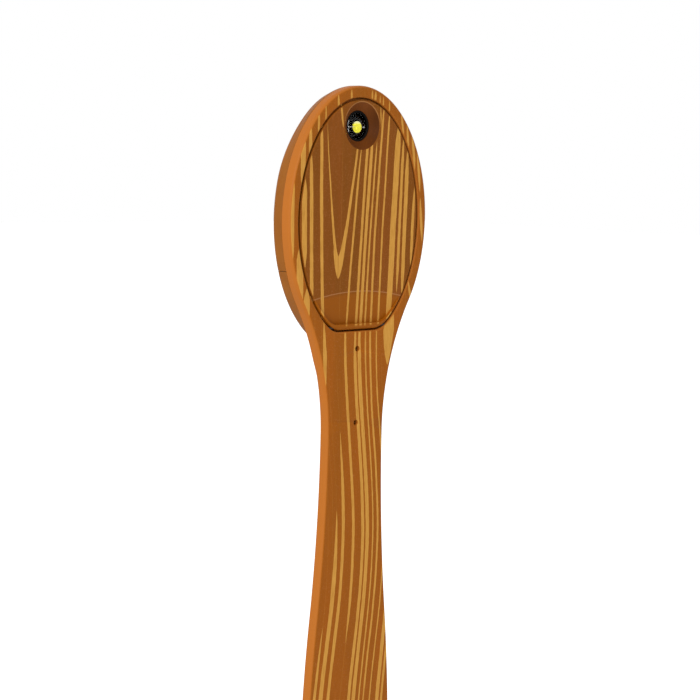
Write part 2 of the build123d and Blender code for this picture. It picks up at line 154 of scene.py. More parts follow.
# Outline of the neck and the blade
BLEND_RISE = 9.3
NECK_RADIUS = 50.0
FLARE_LENGTH = 70.0
blend_turn = asin((RING_BASE + BLEND_RISE - RING_Z) / RING_H)
blend_x = RING_W * cos(blend_turn)
lean = atan2(RING_W * sin(-blend_turn), RING_H * cos(blend_turn))
neck_x = blend_x + NECK_RADIUS * cos(lean)
waist_z = RING_BASE + BLEND_RISE - NECK_RADIUS * sin(lean)
waist_x = neck_x - NECK_RADIUS
flare_radius = (FLARE_LENGTH ** 2 + (BLADE_W - waist_x) ** 2) / (4 * (BLADE_W - waist_x))
flare_turn = asin(FLARE_LENGTH / 2 / flare_radius)

# Bending stretch of the stem: where each skin starts and ends
NECK_CUTS = (3.0, 6.5, 10.5, 14.5)
PINHOLE_R = 0.52
PINHOLES = (2.3, 16.3)
PINHOLE_EDGE = ((0.08, 0.0), (0.03, 0.02), (0.0, 0.08))
BEND_STEP = 0.25
BACK_FADE = 3.0
SLOT_CLEAR = 0.05

# Scoop in the lower part of the panel
CREASE_Z = PIN_Z + 6.55
SCOOP_RADIUS = 50.0
SCOOP_SLOPE = tan(radians(9.1))
SCOOP_LIP = 0.4
SCOOP_FLOOR = PIN_Z + 0.55
SCOOP_CORNER = 3.6
CREASE_SOFT = 0.3
SCOOP_SHEAR = 0.9
scoop_z = CREASE_Z - SCOOP_RADIUS

# Lamp
RECESS_R = 4.4
RECESS_FLOOR_R = 3.0
RECESS_EDGE = 0.12
RECESS_INSET = 0.03
RECESS_FLATTER = 0.7
BORE_CLEAR = 0.03
BOSS_R = 4.7
BOSS_Y = -0.1
BEZEL_WALL = 0.4
BEZEL_EDGE = 0.08
LENS_COLLAR = 0.6
LENS_WALL = 0.3
CHIP_R = 1.06
CHIP_Z = LED_Z - 0.2
CHIP_SIDE = 0.12
CHIP_RISE = 0.22
LEAD_X = 1.85
LEAD_R = 0.22
LEAD_EDGE = 0.1
WIRE_R = 0.05
WIRE_END = 0.85
WIRE_BOW = 0.3
WIRE_RISE = 0.15
PEDESTAL_Y = -0.6
PEDESTAL_R = CHIP_R + 0.12
PEDESTAL_EDGE = 0.06
PEDESTAL_FOOT = 0.1

# Back
HATCH_R = 11.4
HATCH_CLEAR = 0.1
HATCH_WALL = 0.8
HATCH_ROUND = 0.15
HOLE_EDGE = 0.12
LUG_REACH = 0.6
LUG_TURN = 34.0
LUG_ANGLE = 24.0
LUG_SIDE_CLEAR = 0.5
LUG_ROOT = 0.4
LUG_THICK = 0.45
LUGS = (90.0, 210.0, 330.0)
COIN_SLOT = (12.0, 1.6, 0.4)
COIN_EDGE = 0.1
BUTTON_R = 2.5
BUTTON_HOLLOW = 0.25
BUTTON_FLANGE = 0.5
BUTTON_FLANGE_THICK = 0.45
BUTTON_ROUND = 0.2
BUTTON_DISH = 0.1
BUTTON_DISH_SHARE = 0.9
SCREW_R = 1.15
FRAME_SCREW_R = 0.8
SCREW_CLEAR = 0.1
POCKET_EDGE = 0.06
SCREW_HEAD = 0.6
SHANK_R = 0.5
CROSS_ARM = 0.7
CROSS_WIDTH = 0.3
PIN_CHAMFER = 0.08
SCREW_SEAT_Y = 2.3
SHELL_SCREW_TIP = -0.6
CLAMP_SCREW_TIP = -1.5
SCREW_RING_R = 15.1
SCREW_TURNS = (-55.0, 67.2)
FRAME_SCREW_X = 4.4
FRAME_SCREW_Z = (frame_screw_low.z + frame_screw_high.z) / 2
CLAMP_SEATS = [(-FRAME_SCREW_X, FRAME_SCREW_Z), (FRAME_SCREW_X, FRAME_SCREW_Z)]

# How finely curves are divided
OVAL_STEPS = 160
ARC_STEPS = 24
ROUND_STEPS = 6
EASE_STEPS = 3
CORNER_STEPS = 8
SIDE_STEPS = 32
CLAMP_STEPS = 96
CIRCLE_STEPS = 48
HATCH_STEPS = 160
HATCH_HOLE_STEPS = 240

# Points nearer than this are one; edges above this angle stay sharp
SAME_POINT = 1e-7
SHARP_ANGLE = 32.0

# How far a face has to look forward to take the print, and to take it fully
INK_FROM = 0.8
INK_FULL = 0.95


def spread(first, last, steps):
    """Evenly spaced values, both ends among them."""
    return [first + (last - first) * i / steps for i in range(steps + 1)]


def rounding(radius, steps):
    """A quarter round from a face to a side: how far each step lies inside the side,
    and how far behind the face."""
    return [(radius * (1 - sin(t)), radius * (1 - cos(t))) for t in spread(0, pi / 2, steps)]


def back_rounding(radius, steps, back):
    """A quarter round from a side to a back at this depth, as insets and depths."""
    return [(behind, back - inside) for inside, behind in rounding(radius, steps)]


def share_of(value, low, high):
    """From 0 at low to 1 at high."""
    return max(0, min(1, (value - low) / (high - low)))


def eased(value, low, high):
    """The same, but level at both ends."""
    share = share_of(value, low, high)
    return share * share * (3 - 2 * share)


def crossing(low, high, is_before):
    """Where between two values a test stops being true."""
    for _ in range(50):
        middle = (low + high) / 2
        if is_before(middle):
            low = middle
        else:
            high = middle
    return low


def mirrored(line):
    """The same points on the other side of the middle, in the other order."""
    return [(-x, z) for x, z in reversed(line)]


def arc(x, z, radius, first, last, steps):
    return [(x + radius * cos(t), z + radius * sin(t)) for t in spread(first, last, steps)]


def circle(radius, x, z, steps=CIRCLE_STEPS):
    return arc(x, z, radius, 0, 2 * pi, steps)[:-1]


def circle_about_x(radius, x, y, z, steps):
    return [(x, y + radius * cos(t), z + radius * sin(t)) for t in spread(0, 2 * pi, steps)[:-1]]


def oval_point(half_w, half_h, turn, inset=0.0):
    """A point on an oval about the head's middle, moved inwards by inset."""
    nx = half_h * cos(turn)
    nz = half_w * sin(turn)
    length = hypot(nx, nz)
    x = half_w * cos(turn) - inset * nx / length
    z = RING_Z + half_h * sin(turn) - inset * nz / length
    return x, z


def turn_at(half_w, half_h, height, inset=0.0):
    """The turn on the right at which that point has this height."""
    return crossing(-pi / 2, pi / 2, lambda turn: oval_point(half_w, half_h, turn, inset)[1] < height)


def oval_part(half_w, half_h, first, last, inset=0.0, steps=OVAL_STEPS):
    return [oval_point(half_w, half_h, t, inset) for t in spread(first, last, steps)]


def floor_and_corners(half_w, half_h, floor_z, corner, grow):
    """The flat floor of a floored oval with its two corner arcs, from left to right,
    and the turn at which the oval goes on."""
    start = turn_at(half_w, half_h, floor_z + corner, corner)
    x, z = oval_point(half_w, half_h, start, corner)
    slope = atan2(half_w * sin(start), half_h * cos(start))
    right = arc(x, z, corner + grow, -pi / 2, slope, CORNER_STEPS)
    floor = [(x * s, floor_z - grow) for s in spread(-0.75, 0.75, 6)]
    return mirrored(right) + floor + right, start


def floored_oval(half_w, half_h, floor_z, corner, grow=0.0):
    """An oval cut off flat at floor_z, with rounded corners, as a closed loop."""
    base, start = floor_and_corners(half_w, half_h, floor_z, corner, grow)
    return base + oval_part(half_w, half_h, start, pi - start, -grow)[1:-1]


class Moulding:
    """A closed surface in the making, in millimetres."""

    def __init__(self):
        self.points = []
        self.faces = []

    def add(self, points):
        first = len(self.points)
        self.points += points
        return list(range(first, len(self.points)))

    def row(self, line, y):
        """Points given as (x, z), all at one depth."""
        return self.add([(x, y, z) for x, z in line])

    def wall(self, a, b, closed=True):
        """Faces between two rows with as many points each, which may share some."""
        count = len(a)
        for i in range(count if closed else count - 1):
            j = (i + 1) % count
            self.faces.append(tuple(dict.fromkeys((a[i], a[j], b[j], b[i]))))

    def walls(self, rows, closed=True):
        for a, b in zip(rows, rows[1:]):
            self.wall(a, b, closed)

    def fill(self, outer, holes=(), inside=(), across=0, up=2):
        """Triangles within a loop and round its holes, through the points inside."""
        loops = [list(outer)] + [list(hole) for hole in holes]
        numbers = [n for loop in loops for n in loop] + list(inside)
        flat = [Vector((self.points[n][across], self.points[n][up])) for n in numbers]
        edges = []
        first = 0
        for loop in loops:
            count = len(loop)
            edges += [(first + i, first + (i + 1) % count) for i in range(count)]
            first += count
        made = geometry.delaunay_2d_cdt(flat, edges, [], 0, SAME_POINT)
        places = np.array([(p.x, p.y) for p in made[0]])
        crossed = [tuple(p) for p, source in zip(made[0], made[3]) if not source]
        if crossed:
            raise ValueError(f"the outline crosses itself at {crossed[:4]}")
        triangles = np.array(made[2])
        middles = places[triangles].mean(axis=1)
        ends = np.array([[(flat[a].x, flat[a].y), (flat[b].x, flat[b].y)] for a, b in edges])
        inner = np.zeros(len(middles), dtype=int)
        for (ax, az), (bx, bz) in ends:
            over = (az > middles[:, 1]) != (bz > middles[:, 1])
            if az != bz:
                hit = ax + (middles[:, 1] - az) * (bx - ax) / (bz - az)
                inner += over & (hit > middles[:, 0])
        for triangle, crossings in zip(triangles, inner):
            if crossings % 2:
                self.faces.append(tuple(numbers[made[3][v][0]] for v in triangle))

    def turned(self, profile, x, z, steps=CIRCLE_STEPS):
        """A shape turned about an axis along Y, from (radius, depth) pairs.
        It closes on the axis, or on itself if it never reaches the axis."""
        rows = []
        for radius, y in profile:
            if radius == 0:
                rows.append(self.add([(x, y, z)]))
            else:
                rows.append(self.row(circle(radius, x, z, steps), y))
        pairs = list(zip(rows, rows[1:]))
        if profile[0][0] > 0:
            pairs.append((rows[-1], rows[0]))
        for a, b in pairs:
            if len(a) == 1 or len(b) == 1:
                pole, rim = (a, b) if len(a) == 1 else (b, a)
                for i in range(steps):
                    self.faces.append((pole[0], rim[i], rim[(i + 1) % steps]))
            else:
                self.wall(a, b)


def in_scene(name, data):
    thing = bpy.data.objects.new(name, data)
    bpy.context.scene.collection.objects.link(thing)
    return thing


def shade(mesh, sharp):
    """Smooth shading, except across edges above this angle."""
    mesh.polygons.foreach_set("use_smooth", [True] * len(mesh.polygons))
    mesh.set_sharp_from_angle(angle=radians(sharp))


def piece(name, moulding, material, print_above=None):
    """Makes the mesh of a finished moulding, with its resting place and its print marked."""
    mesh = bpy.data.meshes.new(name)
    mesh.from_pydata([tuple(c * MM for c in p) for p in moulding.points], [], moulding.faces)
    work = bmesh.new()
    work.from_mesh(mesh)
    bmesh.ops.remove_doubles(work, verts=work.verts, dist=SAME_POINT)
    bmesh.ops.recalc_face_normals(work, faces=work.faces)
    work.to_mesh(mesh)
    work.free()
    shade(mesh, SHARP_ANGLE)
    mark_print(mesh, print_above)
    thing = in_scene(name, mesh)
    even = thing.modifiers.new("Even shading", "WEIGHTED_NORMAL")
    even.keep_sharp = True
    mesh.materials.append(material)
    return thing


def mark_print(mesh, print_above):
    """Stores where each point rests, and how far each face corner looks forward."""
    rest = np.empty(len(mesh.vertices) * 3)
    mesh.vertices.foreach_get("co", rest)
    place = mesh.attributes.new("place", "FLOAT_VECTOR", "POINT")
    place.data.foreach_set("vector", rest / MM)
    looks = np.empty(len(mesh.loops) * 3)
    mesh.corner_normals.foreach_get("vector", looks)
    forward = -looks.reshape(-1, 3)[:, 1]
    ink = np.clip((forward - INK_FROM) / (INK_FULL - INK_FROM), 0, 1)
    if print_above is None:
        ink[:] = 0
    else:
        corner = np.empty(len(mesh.loops), dtype=int)
        mesh.loops.foreach_get("vertex_index", corner)
        height = rest.reshape(-1, 3)[corner, 2] / MM
        ink[height < print_above] = 0
    layer = mesh.attributes.new("ink", "FLOAT", "CORNER")
    layer.data.foreach_set("value", ink)


# Front layer: one moulding to the eye, cut by height where the stem bends

def front_profile(back_round):
    """Insets and depths round the front layer's edge, from its face to its back."""
    rows = []
    for inside, behind in rounding(1.0, ROUND_STEPS):
        rows.append((FRONT_INSET * inside, FRONT_Y + FRONT_ROUND * behind))
    return rows + back_rounding(back_round, EASE_STEPS, 0)


def neck_edge(inset, low, high):
    """The neck's right edge between two heights."""
    radius = NECK_RADIUS + inset
    first = asin((low - waist_z) / radius)
    last = lean if high is None else asin((high - waist_z) / radius)
    return [(-x, z) for x, z in arc(-neck_x, waist_z, radius, first, last, ARC_STEPS)]


def ring_edge(inset):
    """From the cut on the right, up round the ring and down to the cut on the left."""
    right = neck_edge(inset, NECK_CUTS[-1], None)
    top = oval_part(RING_W, RING_H, blend_turn, pi - blend_turn, inset)
    return right + top[1:-1] + mirrored(right)


def blade_edge(inset):
    """From the cut on the left, down round the blade's end and up to the cut on the right."""
    low_z = waist_z - FLARE_LENGTH
    end = arc(0, BLADE_END + BLADE_W, BLADE_W - inset, -pi / 2, 0, ARC_STEPS)
    middle_x = BLADE_W - flare_radius
    lower = arc(middle_x, low_z, flare_radius - inset, 0, flare_turn, ARC_STEPS)
    middle_x = waist_x + flare_radius
    upper = arc(-middle_x, waist_z, flare_radius + inset, -flare_turn, 0, ARC_STEPS)
    upper = [(-x, z) for x, z in upper]
    neck = neck_edge(inset, waist_z, NECK_CUTS[0])
    right = end + lower + upper[1:] + neck[1:]
    return mirrored(right) + right[1:]


def strip_corners(z, clear=0.0):
    """The corners of the metal strip at one height, or of its slot when that is wider."""
    half = core_high.x + clear
    front = core_low.y - clear
    back = core_high.y + clear
    return [(-half, front, z), (half, front, z), (half, back, z), (-half, back, z)]


def pinhole(moulding, z):
    """A pinhole from the face to the slot of the metal strip; returns its two end rows."""
    rows = []
    for grow, behind in PINHOLE_EDGE:
        rows.append(moulding.row(circle(PINHOLE_R + grow, 0, z), FRONT_Y + behind))
    rows.append(moulding.row(circle(PINHOLE_R, 0, z), core_low.y - SLOT_CLEAR))
    moulding.walls(rows)
    return rows[0], rows[-1]


def strip_slot(moulding, open_z, closed_z, hole):
    """The slot for the metal strip, open at one end; the pinhole comes out in its front wall."""
    near = moulding.add(strip_corners(open_z, SLOT_CLEAR))
    far = moulding.add(strip_corners(closed_z, SLOT_CLEAR))
    moulding.fill([near[0], near[1], far[1], far[0]], [hole])
    for i in (1, 2, 3):
        j = (i + 1) % 4
        moulding.faces.append((near[i], near[j], far[j], far[i]))
    moulding.faces.append(tuple(far))
    return near


def cut_end(moulding, rows, slot):
    """Closes the flat cut across the stem, round the slot."""
    ends = [row[0] for row in rows] + [row[-1] for row in reversed(rows)]
    moulding.fill(ends, [slot], across=0, up=1)


def rounded_hole(moulding, line, radius, front, back, at_front=True):
    """Walls of an opening whose one edge is rounded; line(grow) gives its loop."""
    if at_front:
        steps = [(grow, front + behind) for grow, behind in rounding(radius, EASE_STEPS)]
        steps.append((0, back))
    else:
        steps = [(0, front)] + back_rounding(radius, EASE_STEPS, back)
    rows = [moulding.row(line(grow), y) for grow, y in steps]
    moulding.walls(rows)
    return rows[0], rows[-1]


def frame_moulding():
    made = Moulding()
    rows = [made.row(ring_edge(inset), y) for inset, y in front_profile(PARTING_ROUND)]
    made.walls(rows, closed=False)

    def opening(grow):
        return floored_oval(OPENING_W, OPENING_H, SILL_Z, SILL_CORNER, grow)

    front, back = rounded_hole(made, opening, RIM_ROUND, FRONT_Y, 0)
    face, floor = pinhole(made, PINHOLES[1])
    made.fill(rows[0], [front, face])
    made.fill(rows[-1], [back])
    slot = strip_slot(made, NECK_CUTS[-1], core_high.z + SLOT_CLEAR, floor)
    cut_end(made, rows, slot)
    return made


def blade_moulding():
    made = Moulding()
    rows = [made.row(blade_edge(inset), y) for inset, y in front_profile(STEM_BACK_ROUND)]
    made.walls(rows, closed=False)
    face, floor = pinhole(made, PINHOLES[0])
    made.fill(rows[0], [face])
    made.fill(rows[-1])
    slot = strip_slot(made, NECK_CUTS[0], core_low.z - SLOT_CLEAR, floor)
    cut_end(made, rows, slot)
    return made


def neck_half(z, inset):
    return neck_x - sqrt((NECK_RADIUS + inset) ** 2 - (z - waist_z) ** 2)


def neck_moulding(low, high):
    """One bending stretch of the stem, in rows across it."""
    made = Moulding()
    skins = []
    slots = []
    for z in spread(low, high, round((high - low) / BEND_STEP)):
        fade = min(1, (NECK_CUTS[-1] - z) / BACK_FADE)
        profile = front_profile(PARTING_ROUND + (STEM_BACK_ROUND - PARTING_ROUND) * fade)
        right = [(neck_half(z, inset), y, z) for inset, y in profile]
        left = [(-x, y, z) for x, y, z in reversed(right)]
        skins.append(made.add(right + left))
        slots.append(made.add(strip_corners(z, SLOT_CLEAR)))
    made.walls(skins)
    made.walls(slots)
    made.fill(skins[0], [slots[0]], across=0, up=1)
    made.fill(skins[-1], [slots[-1]], across=0, up=1)
    return made


def strip_moulding(low, high, hole_z=None):
    """A stretch of the bendable metal strip inside the stem."""
    made = Moulding()
    if hole_z is None:
        rows = [made.add(strip_corners(z)) for z in spread(low, high, round((high - low) / BEND_STEP))]
        made.walls(rows)
        made.faces += [tuple(rows[0]), tuple(rows[-1])]
        return made
    half = core_high.x
    line = [(-half, low), (half, low), (half, high), (-half, high)]
    front = made.row(line, core_low.y)
    back = made.row(line, core_high.y)
    near = made.row(circle(PINHOLE_R, 0, hole_z), core_low.y)
    far = made.row(circle(PINHOLE_R, 0, hole_z), core_high.y)
    made.wall(front, back)
    made.wall(near, far)
    made.fill(front, [near])
    made.fill(back, [far])
    return made


# Layer behind the ring, parted in two

def rear_profile():
    """Insets and depths from the parting with the front layer to the back, each with the
    larger inset that it has at the top of the ring, where the layer leans further in."""
    rows = [(PARTING_ROUND * s, PARTING_ROUND * (1 - s), PARTING_ROUND * s) for s in (1, 0.3, 0)]
    wall = REAR_Y - REAR_ROUND - PARTING_ROUND
    for step in spread(0, wall, 4)[1:]:
        rows.append((0, PARTING_ROUND + step, TOP_LEAN * (step / wall) ** LEAN_POWER))
    for inset, y in back_rounding(REAR_ROUND, 8, REAR_Y)[1:]:
        rows.append((inset, y, TOP_LEAN + inset))
    return rows


def rear_edge(first, last, inset, top_inset, low_ease, steps):
    """The rear layer's outer edge at one depth. Its lowest stretch can be eased outwards."""
    line = []
    for turn in spread(first, last, steps):
        here = inset + (top_inset - inset) * eased(sin(turn), *LEAN_SPAN)
        low = share_of(-sin(turn), *LOW_SPAN)
        line.append(oval_point(RING_W, RING_H, turn, here * (1 - low_ease * low)))
    return line


def screw_pocket(made, x, z, head_radius):
    """A counterbore in the back for a screw's head; returns its rim."""
    radius = head_radius + SCREW_CLEAR
    rim = made.row(circle(radius + POCKET_EDGE, x, z), REAR_Y)
    wall = made.row(circle(radius, x, z), REAR_Y - POCKET_EDGE)
    floor = made.row(circle(radius, x, z), SCREW_SEAT_Y)
    made.walls([rim, wall, floor])
    made.fill(floor)
    return rim


def rear_moulding(outer_line, inner_line, seats):
    """Both parts of the rear layer: an outer and an inner edge that end in the same cut."""
    made = Moulding()
    outer = [made.row(outer_line(inset, top_inset), y) for inset, y, top_inset in rear_profile()]
    inside = [(0, 0)] + back_rounding(BACK_EASE, EASE_STEPS, REAR_Y)
    inner = [made.row(inner_line(grow), y) for grow, y in inside]
    made.walls(outer, closed=False)
    made.walls(inner, closed=False)
    holes = [screw_pocket(made, x, z, FRAME_SCREW_R) for x, z in seats]
    made.fill(outer[0] + inner[0][::-1])
    made.fill(outer[-1] + inner[-1][::-1], holes)
    for end in (0, -1):
        made.faces.append(tuple([row[end] for row in outer] + [row[end] for row in reversed(inner)]))
    return made


def rear_ring_moulding():
    cut = rear_low.z

    def outer(inset, top_inset):
        first = turn_at(RING_W, RING_H, cut, inset)
        return rear_edge(first, pi - first, inset, top_inset, 0, OVAL_STEPS)

    def inner(grow):
        first = turn_at(REAR_HOLE_W, REAR_HOLE_H, cut, -grow)
        return oval_part(REAR_HOLE_W, REAR_HOLE_H, first, pi - first, -grow)

    return rear_moulding(outer, inner, [])


def clamp_moulding():
    cut = clamp_high.z + PARTING_CLOSER
    sill = SHELL_FLOOR - SHELL_GAP

    def outer(inset, top_inset):
        first = turn_at(RING_W, RING_H, cut, inset)
        return rear_edge(pi - first, 2 * pi + first, inset, inset, LOW_EASE, CLAMP_STEPS)

    def inner(grow):
        base, start = floor_and_corners(REAR_HOLE_W, REAR_HOLE_H, sill, CLAMP_CORNER, grow)
        end = turn_at(REAR_HOLE_W, REAR_HOLE_H, cut, -grow)
        side = oval_part(REAR_HOLE_W, REAR_HOLE_H, start, end, -grow, SIDE_STEPS)
        return mirrored(side) + base[1:-1] + side

    return rear_moulding(outer, inner, CLAMP_SEATS)


# Head

def scoop_depth(x, z):
    """How far the scoop lies behind the panel's face, eased in at the crease."""
    inside = SCOOP_RADIUS + CREASE_SOFT - hypot(x, z - scoop_z)
    if inside <= 0:
        return 0
    if inside < 2 * CREASE_SOFT:
        return SCOOP_SLOPE * inside ** 2 / (4 * CREASE_SOFT)
    return SCOOP_SLOPE * (inside - CREASE_SOFT)


def scoop(made):
    """The scooped floor and the lip's inner wall; returns the scoop's loop in the panel's face."""
    half_w = PANEL_W - SCOOP_LIP
    half_h = PANEL_H - SCOOP_LIP
    base, start = floor_and_corners(half_w, half_h, SCOOP_FLOOR, SCOOP_CORNER, 0)
    radius = SCOOP_RADIUS + CREASE_SOFT

    def in_scoop(turn):
        x, z = oval_point(half_w, half_h, turn)
        return hypot(x, z - scoop_z) < radius

    side = oval_part(half_w, half_h, start, crossing(start, 0, in_scoop), 0, ARC_STEPS)
    wall_line = mirrored(side) + base[1:-1] + side
    x, z = side[-1]
    turn = atan2(z - scoop_z, x)
    crease_line = arc(0, scoop_z, radius, turn, pi - turn, 40)[1:-1]
    face = made.row(wall_line, FRONT_Y)
    crease = made.row(crease_line, FRONT_Y)
    sunk = made.add([(x, FRONT_Y + scoop_depth(x, z), z) for x, z in wall_line[1:-1]])
    floor = [face[0]] + sunk + [face[-1]]
    made.wall(face, floor, closed=False)
    margin = 0.2
    inside = []
    for reach in [0.1, 0.25, 0.4, 0.6] + spread(0.9, 9.0, 9):
        for x, z in arc(0, scoop_z, radius - reach, pi / 2 - 0.3, pi / 2 + 0.3, 48):
            along = turn_at(half_w - margin, half_h - margin, z)
            edge = oval_point(half_w - margin, half_h - margin, along)[0]
            if abs(x) < edge and z > SCOOP_FLOOR + margin:
                inside.append((x, FRONT_Y + scoop_depth(x, z), z))
    made.fill(floor + crease, inside=made.add(inside))
    return face + crease


def panel_rows(made, line):
    """The panel's edge from its back to its face. A flange closes the seam below its surface,
    and the bottom edge is rolled, with a larger radius."""
    shrunk = floored_oval(PANEL_W, PANEL_H, PANEL_FLOOR, PANEL_CORNER, -PANEL_ROUND)
    flange = []
    for (x, z), (sx, sz) in zip(line, shrunk):
        width = FLANGE_LEAST + (FLANGE - FLANGE_LEAST) * eased(z, FLANGE_LOW, FLANGE_HIGH)
        grow = 1 + width / hypot(x - sx, z - sz)
        flange.append((sx + (x - sx) * grow, sz + (z - sz) * grow))
    seam_floor = FRONT_Y + SEAM_DEPTH
    rows = [made.row(flange, PANEL_BACK), made.row(flange, seam_floor), made.row(line, seam_floor)]
    for inside, behind in reversed(rounding(1.0, ROUND_STEPS)):
        points = []
        for (x, z), (sx, sz) in zip(line, shrunk):
            low = eased(PANEL_FLOOR + ROLL_RISE - z, 0, ROLL_RISE)
            radius = PANEL_ROUND + (ROLL_ROUND - PANEL_ROUND) * low
            inset = radius * inside / hypot(x - sx, z - sz)
            points.append((x + (sx - x) * inset, FRONT_Y + radius * behind, z + (sz - z) * inset))
        rows.append(made.add(points))
    made.walls(rows)
    return rows


def head_front_moulding():
    made = Moulding()
    line = floored_oval(PANEL_W, PANEL_H, PANEL_FLOOR, PANEL_CORNER)
    rows = panel_rows(made, line)
    pocket = scoop(made)
    bore = bezel_high.x + BORE_CLEAR
    steps = []
    for inside, behind in rounding(RECESS_EDGE, EASE_STEPS):
        steps.append((RECESS_R - RECESS_INSET + inside, FRONT_Y + RECESS_FLATTER * behind))
    steps += [(RECESS_FLOOR_R, bezel_low.y), (bore, bezel_low.y), (bore, BOSS_Y)]
    recess = [made.row(circle(radius, 0, LED_Z), y) for radius, y in steps]
    made.walls(recess)
    made.fill(rows[-1], [pocket, recess[0]])

    outer = floored_oval(SHELL_W, SHELL_H, SHELL_FLOOR, SHELL_CORNER)
    ledge = made.row(outer, PANEL_BACK)
    rim = made.row(outer, SPLIT_Y)
    made.fill(rows[0], [ledge])
    made.wall(ledge, rim)
    made.fill(rim, [cavity(made, recess[-1])])
    return made


def cavity(made, bore):
    """The hollow behind the panel, on three levels: board, battery well and lamp. Returns its brim."""
    size = HOLLOW_W, HOLLOW_H
    base, start = floor_and_corners(*size, SHELL_FLOOR + LOW_WALL, SHELL_CORNER, 0)
    low = turn_at(*size, WELL_STEP_Z)
    high = turn_at(*size, LED_Z - BOSS_R)
    side = oval_part(*size, start, low, 0, SIDE_STEPS)
    low_line = mirrored(side) + base[1:-1] + side
    right_line = oval_part(*size, low, high, 0, SIDE_STEPS)
    left_line = mirrored(right_line)
    top_line = oval_part(*size, high, pi - high, 0, CIRCLE_STEPS)
    brim = made.row(low_line + right_line[1:-1] + top_line + left_line[1:-1], SPLIT_Y)
    first = len(low_line) - 1
    second = first + len(right_line) - 1
    third = second + len(top_line) - 1
    brim_right = brim[first:second + 1]
    brim_left = brim[third:] + brim[:1]
    low_floor = made.row(low_line, LOW_FLOOR)
    top_floor = made.row(top_line, BOSS_Y)
    right = made.row(right_line, WELL_FLOOR)
    left = made.row(left_line, WELL_FLOOR)
    made.wall(brim[:first + 1], low_floor, closed=False)
    made.wall(brim[second:third + 1], top_floor, closed=False)
    for edge, foot, before, after in (
        (brim_right, right, low_floor[-1], top_floor[0]),
        (brim_left, left, top_floor[-1], low_floor[0]),
    ):
        made.wall(edge[1:-1], foot[1:-1], closed=False)
        made.faces.append((edge[0], edge[1], foot[1], foot[0], before))
        made.faces.append((edge[-2], edge[-1], after, foot[-1], foot[-2]))
    made.faces.append((low_floor[-1], low_floor[0], left[-1], right[0]))
    made.faces.append((top_floor[0], top_floor[-1], left[0], right[-1]))
    made.fill(low_floor)
    made.fill(right + left)
    made.fill(top_floor, [bore])
    return brim


def hatch_opening(grow=0.0):
    """The battery hatch's hole, with the three notches that let its lugs out."""
    line = []
    for i in range(HATCH_HOLE_STEPS):
        turn = 360 * (i + 0.5) / HATCH_HOLE_STEPS
        off = min(abs((turn - lug - LUG_TURN + 180) % 360 - 180) for lug in LUGS)
        reach = LUG_REACH if off < LUG_ANGLE / 2 + LUG_SIDE_CLEAR else 0
        radius = HATCH_R + HATCH_CLEAR + reach + grow
        line.append((radius * cos(radians(turn)), CELL_Z + radius * sin(radians(turn))))
    return line


def head_seats():
    seats = []
    for turn in SCREW_TURNS:
        x = SCREW_RING_R * cos(radians(turn))
        z = CELL_Z + SCREW_RING_R * sin(radians(turn))
        seats += [(-x, z), (x, z)]
    return seats


def head_back_moulding():
    made = Moulding()
    shell = SHELL_W, SHELL_H, SHELL_FLOOR, SHELL_CORNER
    rows = [made.row(floored_oval(*shell), SPLIT_Y)]
    for inset, y in back_rounding(SHELL_ROUND, ROUND_STEPS, REAR_Y):
        rows.append(made.row(floored_oval(*shell, -inset), y))
    made.walls(rows)
    inner = floored_oval(HOLLOW_W, HOLLOW_H, SHELL_FLOOR + LOW_WALL, SHELL_CORNER)
    brim = made.row(inner, SPLIT_Y)
    ceiling = made.row(inner, REAR_Y - WALL)
    made.fill(rows[0], [brim])
    made.wall(brim, ceiling)
    back_holes = []
    inner_holes = []
    for line in (hatch_opening, lambda grow: circle(BUTTON_R + HATCH_CLEAR + grow, 0, BUTTON_Z)):
        lip, rim = rounded_hole(made, line, HOLE_EDGE, REAR_Y - WALL, REAR_Y, at_front=False)
        inner_holes.append(lip)
        back_holes.append(rim)
    back_holes += [screw_pocket(made, x, z, SCREW_R) for x, z in head_seats()]
    made.fill(rows[-1], back_holes)
    made.fill(ceiling, inner_holes)
    return made


def hatch_moulding():
    made = Moulding()
    skirt_y = hatch_low.y

    def round_row(radius, y):
        return made.row(circle(radius, 0, CELL_Z, HATCH_STEPS), y)

    rows = [round_row(HATCH_R, skirt_y)]
    rows += [round_row(HATCH_R - inset, y) for inset, y in back_rounding(HATCH_ROUND, 4, REAR_Y)]
    made.walls(rows)
    skirt = round_row(HATCH_R - HATCH_WALL, skirt_y)
    under = round_row(HATCH_R - HATCH_WALL, REAR_Y - HATCH_WALL)
    made.fill(rows[0], [skirt])
    made.wall(skirt, under)
    made.fill(under)
    length, width, depth = COIN_SLOT

    def slot(grow):
        reach = length / 2 - width / 2
        right = arc(reach, CELL_Z, width / 2 + grow, -pi / 2, pi / 2, 12)
        return right + arc(-reach, CELL_Z, width / 2 + grow, pi / 2, 3 * pi / 2, 12)

    floor, rim = rounded_hole(made, slot, COIN_EDGE, REAR_Y - depth, REAR_Y, at_front=False)
    made.fill(floor)
    made.fill(rows[-1], [rim])
    for lug in LUGS:
        ends = (radians(lug - LUG_ANGLE / 2), radians(lug + LUG_ANGLE / 2))
        outside = arc(0, CELL_Z, HATCH_R + LUG_REACH, *ends, 10)
        inside = arc(0, CELL_Z, HATCH_R - LUG_ROOT, ends[1], ends[0], 10)
        front = made.row(outside + inside, skirt_y)
        back = made.row(outside + inside, skirt_y + LUG_THICK)
        made.wall(front, back)
        made.fill(front)
        made.fill(back)
    return made


